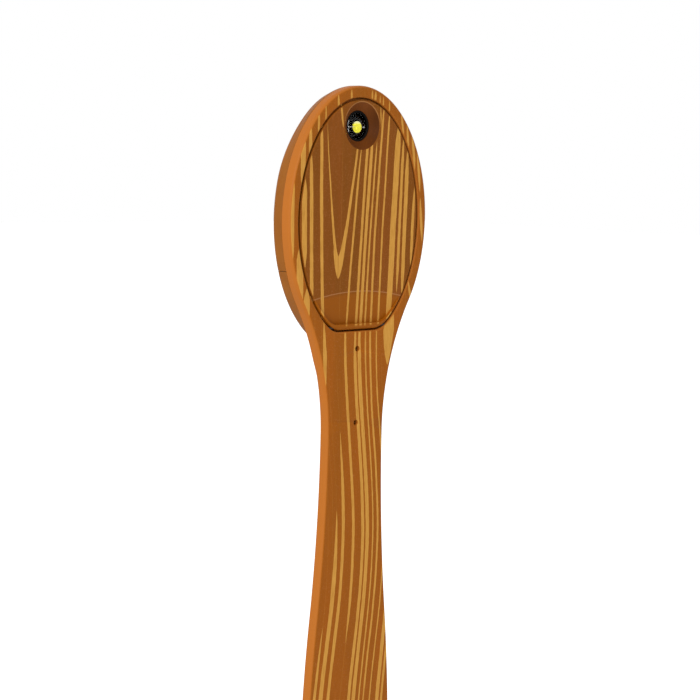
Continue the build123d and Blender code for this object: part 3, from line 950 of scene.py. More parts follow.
def button_moulding():
    made = Moulding()
    low, top = button_low.y, button_high.y
    brim = BUTTON_R + BUTTON_FLANGE
    profile = [
        (0, low + BUTTON_HOLLOW), (BUTTON_R - 0.6, low + BUTTON_HOLLOW), (BUTTON_R - 0.5, low), (brim, low),
        (brim, low + BUTTON_FLANGE_THICK), (BUTTON_R, low + BUTTON_FLANGE_THICK),
    ]
    profile += [(BUTTON_R - inset, y) for inset, y in back_rounding(BUTTON_ROUND, 4, top)]
    for share in (0.8, 0.6, 0.4, 0.2, 0):
        profile.append((BUTTON_R * share, top - BUTTON_DISH * (1 - (share / BUTTON_DISH_SHARE) ** 2)))
    made.turned(profile, 0, BUTTON_Z, 64)
    return made


# Lamp

def bezel_moulding():
    made = Moulding()
    outer = bezel_high.x
    inner = outer - BEZEL_WALL
    back, front = bezel_high.y, bezel_low.y
    eased_y = front + BEZEL_EDGE
    made.turned([
        (inner, back), (inner, eased_y), (inner + BEZEL_EDGE, front), (outer - BEZEL_EDGE, front),
        (outer, eased_y), (outer, back),
    ], 0, LED_Z)
    return made


def dome(radius, rise, tip_y, steps=14):
    """A shallow dome's profile, from its rim to its tip on the axis."""
    globe = (radius ** 2 + rise ** 2) / (2 * rise)
    line = []
    for turn in spread(asin(radius / globe), 0, steps)[1:-1]:
        line.append((globe * sin(turn), tip_y + globe * (1 - cos(turn))))
    return line + [(0, tip_y)]


def lens_moulding():
    """The lamp's clear dome, hollow behind."""
    made = Moulding()
    radius = lens_high.x
    collar_y = lens_high.y - LENS_COLLAR
    rise = collar_y - lens_low.y
    outside = [(radius, lens_high.y), (radius, collar_y)] + dome(radius, rise, lens_low.y)
    hollow = radius - LENS_WALL
    inside = [(hollow, lens_high.y), (hollow, collar_y)]
    inside += dome(hollow, rise - LENS_WALL / 2, lens_low.y + LENS_WALL)
    made.turned(inside[::-1] + outside, 0, LED_Z)
    return made


def chip_moulding():
    """The yellow chip, on top of the black pedestal."""
    made = Moulding()
    side_y = PEDESTAL_Y - CHIP_SIDE
    profile = [(0, PEDESTAL_Y), (CHIP_R, PEDESTAL_Y), (CHIP_R, side_y)]
    made.turned(profile + dome(CHIP_R, CHIP_RISE, side_y - CHIP_RISE, 8), 0, CHIP_Z)
    return made


def base_moulding():
    """The lamp's black floor, and the pedestal for the chip."""
    made = Moulding()
    radius = base_high.x
    foot_y = base_low.y + PEDESTAL_FOOT
    made.turned([(0, base_high.y), (radius, base_high.y), (radius, base_low.y), (0, base_low.y)], 0, LED_Z)
    made.turned([
        (0, foot_y), (PEDESTAL_R, foot_y), (PEDESTAL_R, PEDESTAL_Y + PEDESTAL_EDGE),
        (PEDESTAL_R - PEDESTAL_EDGE, PEDESTAL_Y), (0, PEDESTAL_Y),
    ], 0, CHIP_Z)
    return made


def leads_moulding():
    """Two silver pins and the fine wires from them to the chip."""
    made = Moulding()
    pin = [
        (0, chip_high.y), (LEAD_R, chip_high.y), (LEAD_R, PEDESTAL_Y + LEAD_EDGE),
        (LEAD_R - LEAD_EDGE, PEDESTAL_Y), (0, PEDESTAL_Y),
    ]
    for side in (-1, 1):
        made.turned(pin, side * LEAD_X, CHIP_Z, 20)
        rows = []
        for share in spread(0, 1, 10):
            x = side * (LEAD_X + (WIRE_END - LEAD_X) * share)
            y = PEDESTAL_Y - LEAD_EDGE - WIRE_BOW * sin(pi * share) - WIRE_RISE * share
            rows.append(made.add([
                (x, y + WIRE_R * sin(t), CHIP_Z + WIRE_R * cos(t)) for t in spread(0, 2 * pi, 8)[:-1]]))
        made.walls(rows)
        made.faces += [tuple(rows[0]), tuple(rows[-1])]
    return made


# Materials

def srgb(red, green, blue):
    """A colour as a screen shows it, from 0 to 255, made linear."""
    values = []
    for part in (red, green, blue):
        part /= 255
        values.append(part / 12.92 if part <= 0.04045 else ((part + 0.055) / 1.055) ** 2.4)
    return (*values, 1)


class Recipe:
    """Adds nodes to a tree; an input is another node's socket or a plain value."""

    def __init__(self, tree):
        self.tree = tree

    def node(self, kind, output=0, settings=None, **inputs):
        made = self.tree.nodes.new(kind)
        for name, value in (settings or {}).items():
            setattr(made, name, value)
        for name, value in inputs.items():
            self.feed(made.inputs[name.replace("_", " ")], value)
        return made.outputs[output]

    def feed(self, socket, value):
        if isinstance(value, bpy.types.NodeSocket):
            self.tree.links.new(value, socket)
        else:
            socket.default_value = value

    def group(self, tree, values):
        """One more use of a node group, with its inputs by name."""
        made = self.tree.nodes.new("ShaderNodeGroup")
        made.node_tree = tree
        for name, value in values.items():
            self.feed(made.inputs[name], value)
        return made.outputs[0]

    def resting_place(self):
        """Where a point lies when the part rests, in millimetres."""
        return self.node("ShaderNodeAttribute", 1, {"attribute_name": "place"})

    def math(self, operation, first, second=0.0):
        made = self.tree.nodes.new("ShaderNodeMath")
        made.operation = operation
        self.feed(made.inputs[0], first)
        self.feed(made.inputs[1], second)
        return made.outputs[0]

    def plus(self, first, second):
        return self.math("ADD", first, second)

    def minus(self, first, second):
        return self.math("SUBTRACT", first, second)

    def times(self, first, second):
        return self.math("MULTIPLY", first, second)

    def apart(self, first, second):
        return self.math("ABSOLUTE", self.minus(first, second))

    def ramp(self, value, low, high, to_low=0.0, to_high=1.0, smooth=False, clamp=True):
        made = self.tree.nodes.new("ShaderNodeMapRange")
        made.clamp = clamp
        made.interpolation_type = "SMOOTHSTEP" if smooth else "LINEAR"
        self.feed(made.inputs["Value"], value)
        self.feed(made.inputs["From Min"], low)
        self.feed(made.inputs["From Max"], high)
        self.feed(made.inputs["To Min"], to_low)
        self.feed(made.inputs["To Max"], to_high)
        return made.outputs[0]

    def mix(self, share, first, second, blend="MIX"):
        made = self.tree.nodes.new("ShaderNodeMix")
        made.data_type = "RGBA"
        made.blend_type = blend
        self.feed(made.inputs[0], share)
        self.feed(made.inputs[6], first)
        self.feed(made.inputs[7], second)
        return made.outputs[2]

    def noise(self, where, scale, detail=2.0):
        """Noise at points given by a vector socket, from 0 to 1."""
        made = self.tree.nodes.new("ShaderNodeTexNoise")
        made.inputs["Scale"].default_value = scale
        made.inputs["Detail"].default_value = detail
        self.feed(made.inputs["Vector"], where)
        return made.outputs["Fac"]

    def stretched(self, where, x, y, z):
        """The same points with each direction scaled, so that noise becomes streaks."""
        made = self.tree.nodes.new("ShaderNodeMapping")
        made.inputs["Scale"].default_value = (x, y, z)
        self.feed(made.inputs["Vector"], where)
        return made.outputs[0]


def new_material(name):
    """An empty material with its shader, and a recipe to fill it with."""
    material = bpy.data.materials.new(name)
    material.use_nodes = True
    return material, material.node_tree.nodes["Principled BSDF"], Recipe(material.node_tree)


# Colours that several recipes share or that belong to one small feature
FRAME_REDDISH = srgb(158, 85, 10)
FRAME_OLIVE = srgb(150, 83, 10)
# Painted sheen that lightens the unprinted sides
SIDE_PAINTED_SHEEN = srgb(168, 98, 34)
DULL_GOLD = srgb(196, 138, 56)
BRIGHT_GOLD = srgb(208, 152, 68)
FLECK = srgb(196, 132, 84)
# Painted highlight along the scoop's crease
CREASE_PAINTED_HIGHLIGHT = srgb(190, 134, 88)
# Painted shade on the lamp recess's wall: low, high and on the right
RECESS_PAINTED_SHADE_LOW = srgb(98, 48, 0)
RECESS_PAINTED_SHADE_HIGH = srgb(120, 64, 20)
RECESS_PAINTED_SHADE_RIGHT = srgb(76, 36, 0)
# Painted highlight on the recess's upper rim
RIM_PAINTED_HIGHLIGHT = srgb(204, 146, 92)

# The print's soft edge, outside and inside its outline
PRINT_OUTSIDE = 0.05
PRINT_INSIDE = 0.07

# The slow swing of the stem's stripes, which starts below this height
SWING_TOP = 20.0
SWING_LENGTH = 13.0
SWING_REACH = 1.6

# The fork: its tip, where its arms part, and how they lean and open
FORK_X = -5.35
FORK_TOP_Z = 58.5
FORK_TIP_Z = 29.5
FORK_PARTS_Z = 33.7
FORK_LEAN = 0.028
FORK_POWER = 0.705
FORK_WIDTH = 0.408
FORK_TIP_SOFT = (-0.2, 0.3)
FORK_TOP_SOFT = 3.5

# Two heights and the values there: how much fuller the drop is, and how far the gap between
# the arms closes in
FORK_FULLER = (30.5, 35.5, 1.35, 1.0)
FORK_CLOSER = (38.0, 54.0, 0.0, 0.14)

# Printed stripes, each as (x, z) at its low end, (x, z) at its high end, half its width,
# how far its middle bows to the right, and how long its pointed ends are
PANEL_STRIPES = [
    (-13.7, 31.5, -14.1, 48.5, 0.60, 0.0, 3.0),
    (-11.7, 23.0, -12.6, 53.5, 0.44, 0.0, 5.0),
    (-8.8, 17.0, -10.2, 59.0, 0.38, -0.1, 4.0),
    (-3.15, 16.0, 0.05, 55.0, 0.26, -0.35, 8.0),
    (-0.8, 16.0, 1.55, 56.0, 0.32, -0.1, 3.0),
    (0.4, 16.0, 2.65, 56.0, 0.38, -0.12, 3.0),
    (1.6, 16.0, 3.85, 55.0, 0.22, -0.22, 3.0),
    (3.15, 16.0, 5.5, 62.0, 0.26, -0.4, 3.0),
    (4.8, 57.6, 4.5, 62.0, 0.17, 0.0, 2.5),
    (5.1, 18.0, 7.0, 61.0, 0.24, -0.2, 3.0),
    (7.8, 18.5, 9.5, 58.5, 0.72, -0.1, 4.0),
    (9.9, 26.5, 10.8, 56.5, 0.36, 0.0, 5.0),
    (11.3, 25.5, 12.0, 54.0, 0.48, 0.0, 5.0),
    (13.5, 31.0, 14.0, 46.5, 0.36, 0.0, 4.0),
    (-4.8, 57.3, -5.5, 62.0, 0.24, 0.0, 1.5),
]
RING_STRIPES = [
    (-14.5, 45.5, -14.4, 56.9, 0.55, 0.0, 3.0),
    (-12.7, 50.0, -12.8, 58.0, 0.40, 0.0, 2.5),
    (-10.9, 55.5, -10.9, 60.2, 0.22, 0.0, 1.5),
    (-9.2, 57.5, -9.2, 61.4, 0.16, 0.0, 1.0),
    (-16.6, 32.0, -16.8, 49.5, 0.45, -0.1, 4.0),
    (-14.6, 24.0, -14.8, 35.5, 0.80, 0.0, 2.2),
    (-12.9, 20.4, -13.0, 28.0, 0.72, 0.0, 2.0),
    (-6.0, 59.5, -6.2, 63.2, 0.26, 0.0, 0.9),
    (-2.8, 60.5, -2.9, 64.3, 0.22, 0.0, 0.8),
    (2.3, 61.0, 2.3, 64.4, 0.20, 0.0, 0.8),
    (3.1, 61.0, 3.2, 64.2, 0.30, 0.0, 0.8),
    (4.4, 60.5, 4.3, 63.6, 0.13, 0.0, 0.8),
    (5.2, 60.5, 5.2, 63.3, 0.15, 0.0, 0.8),
    (6.9, 60.0, 6.8, 62.6, 0.16, 0.0, 0.8),
    (10.9, 55.0, 9.9, 60.8, 0.26, 0.0, 2.0),
    (12.3, 52.5, 11.6, 58.3, 0.30, 0.0, 2.0),
    (14.0, 49.5, 13.0, 56.5, 0.32, 0.1, 2.5),
    (15.5, 45.5, 14.5, 53.0, 0.30, 0.1, 2.5),
    (16.4, 36.0, 15.6, 44.5, 0.34, 0.0, 3.0),
    (14.1, 23.5, 12.9, 29.0, 0.30, 0.0, 2.5),
]
STEM_STRIPES = [
    (-8.4, 8.5, -8.7, 22.0, 0.50, 0.25, 6.0),
    (-3.15, -40.0, -3.2, 23.0, 0.33, 0.0, 8.0),
    (-0.8, -104.0, -0.7, 23.0, 0.38, 0.0, 9.0),
    (0.5, -70.0, 0.4, 23.0, 0.46, 0.0, 8.0),
    (1.9, -98.0, 2.0, 23.0, 0.18, 0.0, 6.0),
    (3.15, -55.0, 3.2, 23.0, 0.24, 0.0, 6.0),
    (4.95, -104.0, 4.8, 23.0, 0.17, 0.0, 6.0),
    (7.7, 12.8, 9.0, 26.0, 1.50, -0.3, 7.0),
    (-6.3, -92.0, -5.4, 1.0, 0.40, -0.3, 12.0),
    (-8.6, -88.0, -7.4, -14.0, 0.52, -0.2, 14.0),
    (-10.0, -70.0, -9.6, -36.0, 0.34, 0.0, 10.0),
    (-3.6, -103.0, -3.0, -52.0, 0.30, 0.2, 9.0),
    (0.6, -103.0, 0.7, -78.0, 0.26, 0.0, 7.0),
    (3.4, -100.0, 3.1, -62.0, 0.40, 0.2, 9.0),
    (6.9, -82.0, 6.2, -6.0, 0.46, 0.3, 12.0),
    (8.6, -94.0, 7.9, -30.0, 0.28, 0.0, 10.0),
]


STRIPE_INPUTS = (
    "Across", "Height", "Low x", "Low z", "High x", "High z", "Half width", "Bow", "Point", "Under",
)


def print_group(name, sockets):
    """An empty group for a part of the print: itself, its inputs, its output and a recipe."""
    group = bpy.data.node_groups.new(name, "ShaderNodeTree")
    for socket in sockets:
        group.interface.new_socket(socket, in_out="INPUT", socket_type="NodeSocketFloat")
    group.interface.new_socket("Print", in_out="OUTPUT", socket_type="NodeSocketFloat")
    given = group.nodes.new("NodeGroupInput").outputs
    result = group.nodes.new("NodeGroupOutput").inputs["Print"]
    return group, given, result, Recipe(group)


def stripe_recipe():
    """One printed stripe, laid over the stripes before it."""
    group, given, result, make = print_group("Grain stripe", STRIPE_INPUTS)
    share = make.ramp(given["Height"], given["Low z"], given["High z"])
    straight = make.ramp(share, 0.0, 1.0, given["Low x"], given["High x"])
    bulge = make.times(make.times(make.times(share, make.minus(1.0, share)), 4.0), given["Bow"])
    off = make.apart(given["Across"], make.plus(straight, bulge))
    from_low = make.minus(given["Height"], given["Low z"])
    from_high = make.minus(given["High z"], given["Height"])
    nearest = make.math("MINIMUM", from_low, from_high)
    pointed = make.math("POWER", make.ramp(nearest, 0.0, given["Point"]), 0.6)
    half = make.times(pointed, given["Half width"])
    covered = make.ramp(off, make.plus(half, PRINT_OUTSIDE), make.minus(half, PRINT_INSIDE), smooth=True)
    make.feed(result, make.math("MAXIMUM", covered, given["Under"]))
    return group


def fork_recipe():
    """The pointed marking left of the panel's middle: a solid drop with two arms that open upwards."""
    group, given, result, make = print_group("Grain fork", ("Across", "Height", "Under"))
    height = given["Height"]

    def outside_arms(foot, fullness):
        """How far outside the arms' curve a point lies; the arms start at the foot's height."""
        rise = make.minus(height, foot)
        middle = make.math("MULTIPLY_ADD", rise, FORK_LEAN)
        middle.node.inputs[2].default_value = FORK_X
        half = make.math("POWER", make.math("MAXIMUM", rise, 0.0), FORK_POWER)
        half = make.times(make.times(half, FORK_WIDTH), fullness)
        return make.minus(make.apart(given["Across"], middle), half)

    outer = outside_arms(FORK_TIP_Z, make.ramp(height, *FORK_FULLER))
    inner = make.minus(outside_arms(FORK_PARTS_Z, 1.0), make.ramp(height, *FORK_CLOSER))
    within = make.ramp(outer, PRINT_OUTSIDE, -PRINT_INSIDE, smooth=True)
    hollow = make.ramp(inner, -PRINT_OUTSIDE, PRINT_INSIDE, smooth=True)
    above = make.ramp(height, *[FORK_TIP_Z + soft for soft in FORK_TIP_SOFT])
    below = make.ramp(height, FORK_TOP_Z, FORK_TOP_Z - FORK_TOP_SOFT)
    mark = make.times(make.times(within, hollow), make.times(above, below))
    make.feed(result, make.math("MAXIMUM", mark, given["Under"]))
    return group


STRIPE = stripe_recipe()
FORK = fork_recipe()


def grain(make, across, height, stripes, fork):
    """Where the printed grain covers the plastic."""
    covered = 0.0
    if fork:
        covered = make.group(FORK, {"Across": across, "Height": height, "Under": covered})
    for stripe in stripes:
        covered = make.group(STRIPE, dict(zip(STRIPE_INPUTS, (across, height, *stripe, covered))))
    return covered


def panel_tints(make, place, base, covered, scoop_light_tint):
    """The scoop, painted lighter as if lit more, a painted highlight along the crease above it, and the
    lamp's recess, which bears no print and has painted shade on its wall and a painted highlight on its
    upper rim. Returns the colour and the print."""
    x, y, height = place["X"], place["Y"], place["Z"]
    flat = make.node("ShaderNodeCombineXYZ", X=x, Y=0.0, Z=height)

    def reach_from(z):
        """How far a point lies from this height on the middle line."""
        reach = make.node("ShaderNodeVectorMath", 1, {"operation": "DISTANCE"}, Vector=flat)
        reach.node.inputs[1].default_value = (0, 0, z)
        return reach

    reach = reach_from(scoop_z)
    # Painted light: the scoop is coloured lighter, as if it were lit more
    scoop_painted_light = make.ramp(reach, SCOOP_RADIUS + 0.2, SCOOP_RADIUS - 0.6)
    base = make.mix(scoop_painted_light, base, make.mix(0.8, base, scoop_light_tint))
    # A painted highlight along the crease between the panel's face and the scoop
    crease_highlight = make.ramp(make.apart(reach, SCOOP_RADIUS + 0.1), 0.14, 0.05, 0.0, 0.45)
    base = make.mix(crease_highlight, base, CREASE_PAINTED_HIGHLIGHT)

    radial = reach_from(LED_Z)
    ahead = make.ramp(y, BOSS_Y - 0.4, BOSS_Y - 0.5)
    recess = make.times(ahead, make.ramp(radial, RECESS_R + 0.02, RECESS_R - 0.05))
    # Painted shade on the recess wall: darker low down and darkest on the right, lighter at the top
    wall = make.mix(make.ramp(height, LED_Z - 4, LED_Z + 4), RECESS_PAINTED_SHADE_LOW, RECESS_PAINTED_SHADE_HIGH)
    wall = make.mix(make.ramp(x, 1.2, 3.8), wall, RECESS_PAINTED_SHADE_RIGHT)
    base = make.mix(recess, base, wall)
    # A painted highlight along the upper half of the recess's rim
    rim = make.ramp(make.apart(radial, RECESS_R + 0.07), 0.11, 0.03)
    rim = make.times(rim, make.ramp(height, LED_Z, LED_Z + 2.5))
    base = make.mix(make.times(rim, 0.45), base, RIM_PAINTED_HIGHLIGHT)
    return base, make.times(covered, make.minus(1.0, recess))


def printed_plastic(name, reddish, olive, scoop_light_tint, stripes, fork=False, stem=False):
    """Satin brown plastic with a gold grain print where the moulding looks forward."""
    material, shader, make = new_material(name)
    place = make.resting_place()
    ink = make.node("ShaderNodeAttribute", 2, {"attribute_name": "ink"})
    parts = make.node("ShaderNodeSeparateXYZ", Vector=place).node.outputs

    slow = make.noise(make.stretched(place, 0.35, 0, 0.07), 1.0, 1.0)
    quick = make.noise(make.stretched(place, 2.2, 0, 0.9), 1.0, 2.0)
    waver = make.times(make.minus(slow, 0.5), 0.3)
    tremble = make.times(make.minus(quick, 0.5), 0.16)
    across = make.plus(make.plus(parts["X"], waver), tremble)
    if scoop_light_tint is not None:
        depth = make.ramp(parts["Y"], FRONT_Y, FRONT_Y + 1.2, 0.0, 1.2)
        across = make.minus(across, make.times(depth, SCOOP_SHEAR))
    if stem:
        fall = make.math("MAXIMUM", make.minus(SWING_TOP, parts["Z"]), 0.0)
        swing = make.math("COSINE", make.math("DIVIDE", fall, SWING_LENGTH))
        across = make.minus(across, make.times(make.minus(1.0, swing), SWING_REACH))
    covered = grain(make, across, parts["Z"], stripes, fork)
    fibres = make.noise(make.stretched(place, 5.0, 0, 0.35), 1.0, 3.0)
    covered = make.times(make.times(covered, make.ramp(fibres, 0.25, 0.5, 0.75, 1.0)), ink)

    bands = make.noise(make.stretched(place, 0.3, 0.3, 0.02), 1.0, 2.0)
    base = make.mix(make.ramp(bands, 0.35, 0.65), olive, reddish)
    flecks = make.noise(place, 7.0, 1.0)
    base = make.mix(make.ramp(flecks, 0.62, 0.72, 0.0, 0.3), base, FLECK)
    shade_of = make.ramp(fibres, 0.2, 0.8, 0.93, 1.07)
    grey = make.node("ShaderNodeCombineColor", Red=shade_of, Green=shade_of, Blue=shade_of)
    base = make.mix(1.0, base, grey, "MULTIPLY")
    if scoop_light_tint is not None:
        base, covered = panel_tints(make, parts, base, covered, scoop_light_tint)
    else:
        # Where there is no print the plastic is painted lighter: a painted sheen on the sides and backs
        base = make.mix(ink, make.mix(0.75, base, SIDE_PAINTED_SHEEN), base)
    gold = make.mix(make.ramp(fibres, 0.3, 0.7), DULL_GOLD, BRIGHT_GOLD)
    make.feed(shader.inputs["Base Color"], make.mix(covered, base, gold))

    speckle = make.noise(place, 14.0, 2.0)
    pores = make.noise(place, 4.0, 2.0)
    make.feed(shader.inputs["Roughness"], make.ramp(pores, 0.3, 0.7, 0.42, 0.54))
    relief = make.plus(make.times(speckle, 0.012), make.times(covered, 0.01))
    bump = make.node("ShaderNodeBump", 0, None, Strength=0.35, Distance=MM, Height=relief)
    make.feed(shader.inputs["Normal"], bump)
    shader.inputs["Specular IOR Level"].default_value = 0.1
    return material


def bare_plastic(name, dark, light, roughness):
    """Brown plastic with no print: a matte moulded surface with a fine texture."""
    material, shader, make = new_material(name)
    place = make.resting_place()
    cloudy = make.noise(place, 0.25, 3.0)
    make.feed(shader.inputs["Base Color"], make.mix(make.ramp(cloudy, 0.3, 0.7), dark, light))
    fine = make.noise(place, 12.0, 2.0)
    make.feed(shader.inputs["Roughness"], make.ramp(fine, 0.3, 0.7, roughness - 0.05, roughness + 0.06))
    bump = make.node("ShaderNodeBump", 0, None, Strength=0.4, Distance=MM, Height=make.times(fine, 0.012))
    make.feed(shader.inputs["Normal"], bump)
    shader.inputs["Specular IOR Level"].default_value = 0.2
    return material


def plain_material(name, colour, roughness, metallic=0.0, grain=0.0, scale=2000.0, extra=None):
    """A single finish with a fine unevenness in its gloss, for the small parts."""
    material, shader, make = new_material(name)
    shader.inputs["Metallic"].default_value = metallic
    place = make.node("ShaderNodeTexCoord", 3)
    mottle = make.noise(place, scale, 3.0)
    darker = tuple(c * 0.85 for c in colour[:3]) + (1,)
    make.feed(shader.inputs["Base Color"], make.mix(make.ramp(mottle, 0.3, 0.7), darker, colour))
    make.feed(shader.inputs["Roughness"], make.ramp(mottle, 0.3, 0.7, roughness * 0.85, roughness * 1.15))
    if grain:
        bump = make.node("ShaderNodeBump", 0, None, Strength=0.4, Distance=grain * MM, Height=mottle)
        make.feed(shader.inputs["Normal"], bump)
    for socket, value in (extra or {}).items():
        shader.inputs[socket].default_value = value
    return material


def phosphor():
    """The chip's yellow, with a faint painted glow and a painted highlight, nearly white, towards its top.
    """
    yellow = srgb(236, 228, 46)
    # A faint painted glow brightens the chip in its deep bore, though the lamp is off
    material = plain_material("Phosphor", yellow, 0.5, extra={"Emission Strength": 0.45})
    make = Recipe(material.node_tree)
    height = make.node("ShaderNodeSeparateXYZ", 2, None, Vector=make.resting_place())
    # Painted highlight: towards the chip's top the glow turns nearly white
    share = make.ramp(height, CHIP_Z + 0.5, CHIP_Z + 0.85)
    shader = material.node_tree.nodes["Principled BSDF"]
    make.feed(shader.inputs["Emission Color"], make.mix(share, yellow, srgb(250, 255, 250)))
    return material


# The stem's stripes that reach the ring are in both, so the print runs on across the neck
meeting = [stripe for stripe in STEM_STRIPES if stripe[3] > NECK_CUTS[-1]]
RING_PRINT = printed_plastic(
    "Printed ring", FRAME_REDDISH, FRAME_OLIVE, None, RING_STRIPES + meeting, stem=True)
STEM_PRINT = printed_plastic("Printed stem", FRAME_REDDISH, FRAME_OLIVE, None, STEM_STRIPES, stem=True)
# The panel's third colour is the scoop's painted light
PANEL_PRINT = printed_plastic(
    "Printed panel", srgb(135, 73, 16), srgb(124, 70, 8), srgb(153, 83, 4), PANEL_STRIPES, fork=True)
PLAIN = bare_plastic("Bare plastic", srgb(126, 71, 4), srgb(136, 78, 6), 0.5)
BLACK = plain_material("Black plastic", srgb(8, 6, 6), 0.5, extra={"Specular IOR Level": 0.08})
SILVER = plain_material("Silver", srgb(215, 215, 218), 0.25, 1.0)
STEEL = plain_material("Steel", srgb(190, 190, 192), 0.3, 1.0)
CLEAR = plain_material("Clear resin", (1, 1, 1, 1), 0.02, extra={"Transmission Weight": 1.0, "IOR": 1.18})
DARK_STEEL = plain_material("Dark steel", srgb(74, 66, 60), 0.45, 1.0)
CELL_METAL = plain_material("Cell steel", srgb(200, 200, 203), 0.35, 1.0, 0.02, 3000.0)
SPRING = plain_material("Spring metal", srgb(206, 196, 168), 0.35, 1.0)
BOARD = plain_material("Board green", srgb(28, 92, 52), 0.5, 0.0, 0.02, 2500.0)
FILM = plain_material("Amber film", srgb(196, 120, 36), 0.4)
CHIP_PAINTED_GLOW = phosphor()


# Screws, made with geometry nodes

SCREW_INPUTS = (
    "Head radius", "Head thickness", "Shank radius", "Shank length",
    "Cross arm", "Cross width", "Cross depth",
)
SCREW_SHARP_ANGLE = 30.0


def cross_screw_tree():
    """A pan head screw with a cross recess at every point given, each turned its own way."""
    tree = bpy.data.node_groups.new("Cross screws", "GeometryNodeTree")
    face = tree.interface
    face.new_socket("Geometry", in_out="INPUT", socket_type="NodeSocketGeometry")
    for name in SCREW_INPUTS:
        face.new_socket(name, in_out="INPUT", socket_type="NodeSocketFloat")
    face.new_socket("Seed", in_out="INPUT", socket_type="NodeSocketInt")
    face.new_socket("Material", in_out="INPUT", socket_type="NodeSocketMaterial")
    face.new_socket("Geometry", in_out="OUTPUT", socket_type="NodeSocketGeometry")
    given = tree.nodes.new("NodeGroupInput").outputs
    result = tree.nodes.new("NodeGroupOutput").inputs
    make = Recipe(tree)

    def vector(x, y, z):
        return make.node("ShaderNodeCombineXYZ", X=x, Y=y, Z=z)

    def moved(mesh, x=0.0, y=0.0, z=0.0, turned=(0, 0, 0)):
        shift = vector(x, y, z)
        return make.node("GeometryNodeTransform", Geometry=mesh, Translation=shift, Rotation=turned)

    def cut(mesh, tool, operation="DIFFERENCE"):
        joined = make.node("GeometryNodeMeshBoolean", 0, {"operation": operation, "solver": "EXACT"})
        second = joined.node.inputs["Mesh 2"]
        if operation == "DIFFERENCE":
            make.feed(joined.node.inputs["Mesh 1"], mesh)
        else:
            tree.links.new(mesh, second)
        tree.links.new(tool, second)
        return joined

    radius, thick = given["Head radius"], given["Head thickness"]
    disc = make.node(
        "GeometryNodeMeshCylinder", Vertices=40, Radius=radius, Depth=make.times(thick, 2.0))
    globe = make.node("GeometryNodeMeshUVSphere", Segments=40, Rings=32, Radius=1.0)
    wide = make.times(radius, 1.25)
    globe = make.node("GeometryNodeTransform", Geometry=globe, Scale=vector(wide, wide, thick))
    head = cut(disc, globe, "INTERSECT")
    flat = make.times(radius, 3.0)
    below = make.node("GeometryNodeMeshCube", Size=vector(flat, flat, make.times(thick, 2.0)))
    head = cut(head, moved(below, z=make.times(thick, -1.0)))
    arm, width, deep = given["Cross arm"], given["Cross width"], given["Cross depth"]
    for long_side, short_side, reach in ((arm, width, 2.0), (width, arm, 2.12)):
        size = vector(long_side, short_side, make.times(deep, reach))
        bar = make.node("GeometryNodeMeshCube", Size=size)
        head = cut(head, moved(bar, z=thick))
    length = given["Shank length"]
    tip_radius = make.times(given["Shank radius"], 0.7)
    shank = make.node(
        "GeometryNodeMeshCone", Vertices=24, Radius_Top=given["Shank radius"], Radius_Bottom=tip_radius,
        Depth=length)
    overlap = make.times(thick, 0.3)
    shank = moved(shank, z=make.minus(overlap, length))
    screw = cut(head, shank, "UNION")
    screw = moved(screw, turned=(-pi / 2, 0, 0))
    spin = make.node("FunctionNodeRandomValue", 1, {"data_type": "FLOAT"})
    spin.node.inputs[3].default_value = 2 * pi
    make.feed(spin.node.inputs["Seed"], given["Seed"])
    turn = make.node("FunctionNodeEulerToRotation", Euler=vector(0.0, spin, 0.0))
    placed = make.node(
        "GeometryNodeInstanceOnPoints", Points=given["Geometry"], Instance=screw, Rotation=turn)
    real = make.node("GeometryNodeRealizeInstances", Geometry=placed)
    finished = make.node("GeometryNodeSetMaterial", Geometry=real, Material=given["Material"])
    make.feed(result["Geometry"], finished)
    return tree


SCREWS = cross_screw_tree()


def screws(name, seats, head_radius, tip_y, material, seed):
    """One mesh of screws whose heads stand at these (x, z) places in the back."""
    points = bpy.data.meshes.new(name + " places")
    points.from_pydata([(x * MM, SCREW_SEAT_Y * MM, z * MM) for x, z in seats], [], [])
    maker = in_scene(name + "_maker", points)
    nodes = maker.modifiers.new("Screws", "NODES")
    nodes.node_group = SCREWS
    sizes = (
        head_radius, SCREW_HEAD, SHANK_R, SCREW_SEAT_Y - tip_y, CROSS_ARM * 2 * head_radius, CROSS_WIDTH,
        SCREW_HEAD / 2)
    values = {title: size * MM for title, size in zip(SCREW_INPUTS, sizes)}
    values["Seed"] = seed
    values["Material"] = material
    for item in SCREWS.interface.items_tree:
        if item.in_out == "INPUT" and item.name in values:
            nodes[item.identifier] = values[item.name]
    maker.update_tag()
    view = bpy.context.evaluated_depsgraph_get()
    mesh = bpy.data.meshes.new_from_object(maker.evaluated_get(view), depsgraph=view)
    bpy.data.objects.remove(maker)
    mesh.name = name
    shade(mesh, SCREW_SHARP_ANGLE)
    thing = in_scene(name, mesh)
    return thing


def hinge_pin():
    """The rod in the rolled edge, with its ends chamfered."""
    made = Moulding()
    radius = (pin_high.z - pin_low.z) / 2
    y = (pin_high.y + pin_low.y) / 2
    end = pin_high.x
    full = end - PIN_CHAMFER
    rows = []
    for x, less in ((-end, PIN_CHAMFER), (-full, 0), (full, 0), (end, PIN_CHAMFER)):
        rows.append(made.add(circle_about_x(radius - less, x, y, PIN_Z, 32)))
    made.walls(rows)
    made.faces += [tuple(rows[0]), tuple(rows[-1])]
    return made


# Pieces

def ridden(thing, body, *nodes):
    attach(thing, body)
    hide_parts(*nodes)


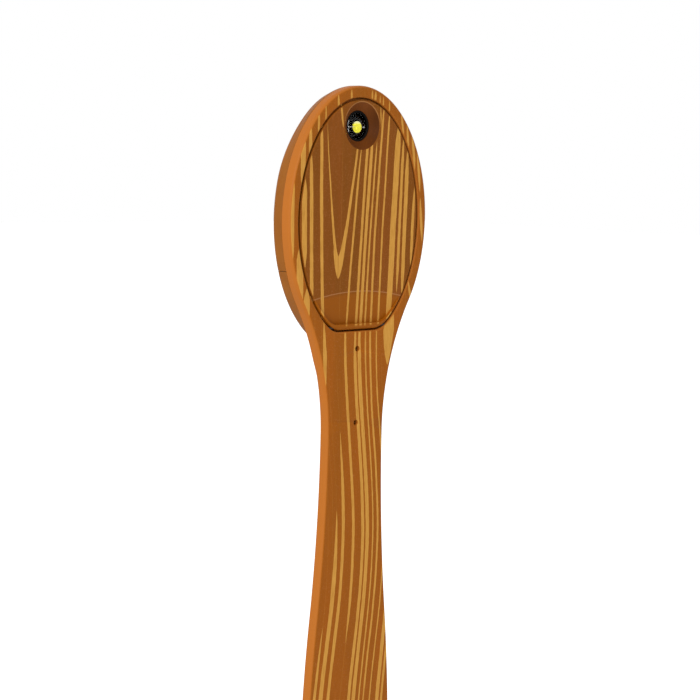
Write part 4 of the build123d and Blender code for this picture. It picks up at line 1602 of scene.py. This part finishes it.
ridden(piece("ring_front", frame_moulding(), RING_PRINT, 0), "frame", "frame_front")
ridden(piece("stem_blade", blade_moulding(), STEM_PRINT, -200), "blade", "blade")
for index in range(3):
    low, high = NECK_CUTS[index], NECK_CUTS[index + 1]
    skin = piece(f"neck_skin_{index + 1}", neck_moulding(low, high), STEM_PRINT, 0)
    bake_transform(skin)
    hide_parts(("neck_link_lower", "neck_link_lower", "neck_link_upper")[index])
    strip = piece(f"strip_bend_{index + 1}", strip_moulding(low, high), STEEL)
    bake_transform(strip)
    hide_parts("stem_core")
ridden(piece("strip_low", strip_moulding(core_low.z, NECK_CUTS[0], PINHOLES[0]), STEEL),
       "blade", "stem_core")
ridden(piece("strip_high", strip_moulding(NECK_CUTS[-1], core_high.z, PINHOLES[1]), STEEL),
       "frame", "stem_core")
for name, made, material, slot, print_above, body, node in (
    ("ring_rear", rear_ring_moulding(), PLAIN, "plain_plastic", None, "frame", "rear_ring"),
    ("ring_clamp", clamp_moulding(), PLAIN, "plain_plastic", None, "frame", "stem_clamp"),
    ("head_panel", head_front_moulding(), PANEL_PRINT, "printed_plastic", SCOOP_FLOOR, "head", "head_front"),
    ("head_shell", head_back_moulding(), PLAIN, "plain_plastic", None, "head", "head_back"),
    ("hatch_cap", hatch_moulding(), PLAIN, "plain_plastic", None, "hatch", "battery_hatch"),
    ("button_cap", button_moulding(), PLAIN, "plain_plastic", None, "button", "power_button"),
    ("lamp_bezel", bezel_moulding(), BLACK, "black_plastic", None, "head", "led_bezel"),
    ("lamp_lens", lens_moulding(), CLEAR, "clear_resin", None, "head", "led_lens"),
    ("lamp_chip", chip_moulding(), CHIP_PAINTED_GLOW, "phosphor", None, "head", "led_chip"),
    ("lamp_leads", leads_moulding(), SILVER, "spring_metal", None, "head", "led_leads"),
    ("lamp_base", base_moulding(), BLACK, "black_plastic", None, "head", "led_base"),
    ("hinge_rod", hinge_pin(), DARK_STEEL, "steel", None, "frame", "hinge_pin"),
):
    ridden(piece(name, made, material, print_above), body, node)
shell_screws = screws("shell_screws", head_seats(), SCREW_R, SHELL_SCREW_TIP, STEEL, 4)
ridden(shell_screws, "head", "head_screws")
clamp_screws = screws("clamp_screws", CLAMP_SEATS, FRAME_SCREW_R, CLAMP_SCREW_TIP, STEEL, 9)
ridden(clamp_screws, "frame", "frame_screws")

# Finishes of the solids that stay as they are, inside the head
INNER_FINISHES = {
    "coin_cell": CELL_METAL,
    "contact_negative": SPRING,
    "contact_positive": SPRING,
    "switch_board": BOARD,
    "led_board": BOARD,
    "flex_strip": FILM,
    "tact_switch": BLACK,
    "button_dome": SPRING,
    "resistor": BLACK,
}
for node, finish in INNER_FINISHES.items():
    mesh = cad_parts[node].data
    mesh.materials.clear()
    mesh.materials.append(finish)


# Floor, light and camera

def floor():
    reach = 3.0
    z = BLADE_END * MM
    mesh = bpy.data.meshes.new("Floor")
    corners = [(-reach, -reach, z), (reach, -reach, z), (reach, reach, z), (-reach, reach, z)]
    mesh.from_pydata(corners, [], [(0, 1, 2, 3)])
    material, shader, make = new_material("Pale floor")
    shader.inputs["Base Color"].default_value = (0.8, 0.8, 0.8, 1)
    shader.inputs["Roughness"].default_value = 0.9
    shader.inputs["Emission Color"].default_value = (1, 1, 1, 1)
    rays = make.node("ShaderNodeLightPath").node.outputs
    make.feed(shader.inputs["Emission Strength"], make.times(rays["Is Camera Ray"], 0.6))
    mesh.materials.append(material)
    thing = in_scene("Floor", mesh)


def surroundings():
    """White to the camera and in reflections, and a little dimmer as a light."""
    world = bpy.data.worlds.new("Studio")
    world.use_nodes = True
    bpy.context.scene.world = world
    sky = world.node_tree.nodes["Background"]
    sky.inputs["Color"].default_value = (1, 1, 1, 1)
    make = Recipe(world.node_tree)
    rays = make.node("ShaderNodeLightPath").node.outputs
    seen = make.math("MAXIMUM", rays["Is Camera Ray"], rays["Is Glossy Ray"])
    seen = make.math("MAXIMUM", seen, rays["Is Transmission Ray"])
    make.feed(sky.inputs["Strength"], make.ramp(seen, 0.0, 1.0, 0.7, 1.0))


def lamp():
    light = bpy.data.lights.new("Window", "AREA")
    light.shape = "RECTANGLE"
    light.size = 0.9
    light.size_y = 0.9
    light.energy = 13
    thing = in_scene("Window", light)
    toward = Vector((-1.0, -0.3, 0.45)).normalized()
    distance = 1.2
    aim = Vector((0, 0, 0.02))
    thing.location = toward * distance + aim
    thing.rotation_mode = "QUATERNION"
    thing.rotation_quaternion = toward.to_track_quat("Z", "Y")


def photo_camera():
    """The photograph's own view, a little above the lamp and well to its left."""
    yaw, pitch, roll = radians(43.22), radians(6.18), radians(1.29)
    distance = 336.0
    aim_right, aim_z = 0.11, 15.84
    look = Vector((sin(yaw) * cos(pitch), cos(yaw) * cos(pitch), -sin(pitch)))
    level = Vector((cos(yaw), -sin(yaw), 0))
    upright = level.cross(look)
    right = level * cos(roll) + upright * sin(roll)
    up = upright * cos(roll) - level * sin(roll)
    target = Vector((aim_right * cos(yaw), -aim_right * sin(yaw), aim_z))
    data = bpy.data.cameras.new("Camera")
    data.lens = 91.8
    data.sensor_width = 36
    data.clip_start = 0.01
    data.clip_end = 20
    thing = in_scene("Camera", data)
    turned = Matrix((right, up, -look)).transposed().to_4x4()
    thing.matrix_world = Matrix.Translation((target - look * distance) * MM) @ turned
    bpy.context.scene.camera = thing


floor()
surroundings()
lamp()
photo_camera()
bpy.context.scene.view_settings.view_transform = "Standard"
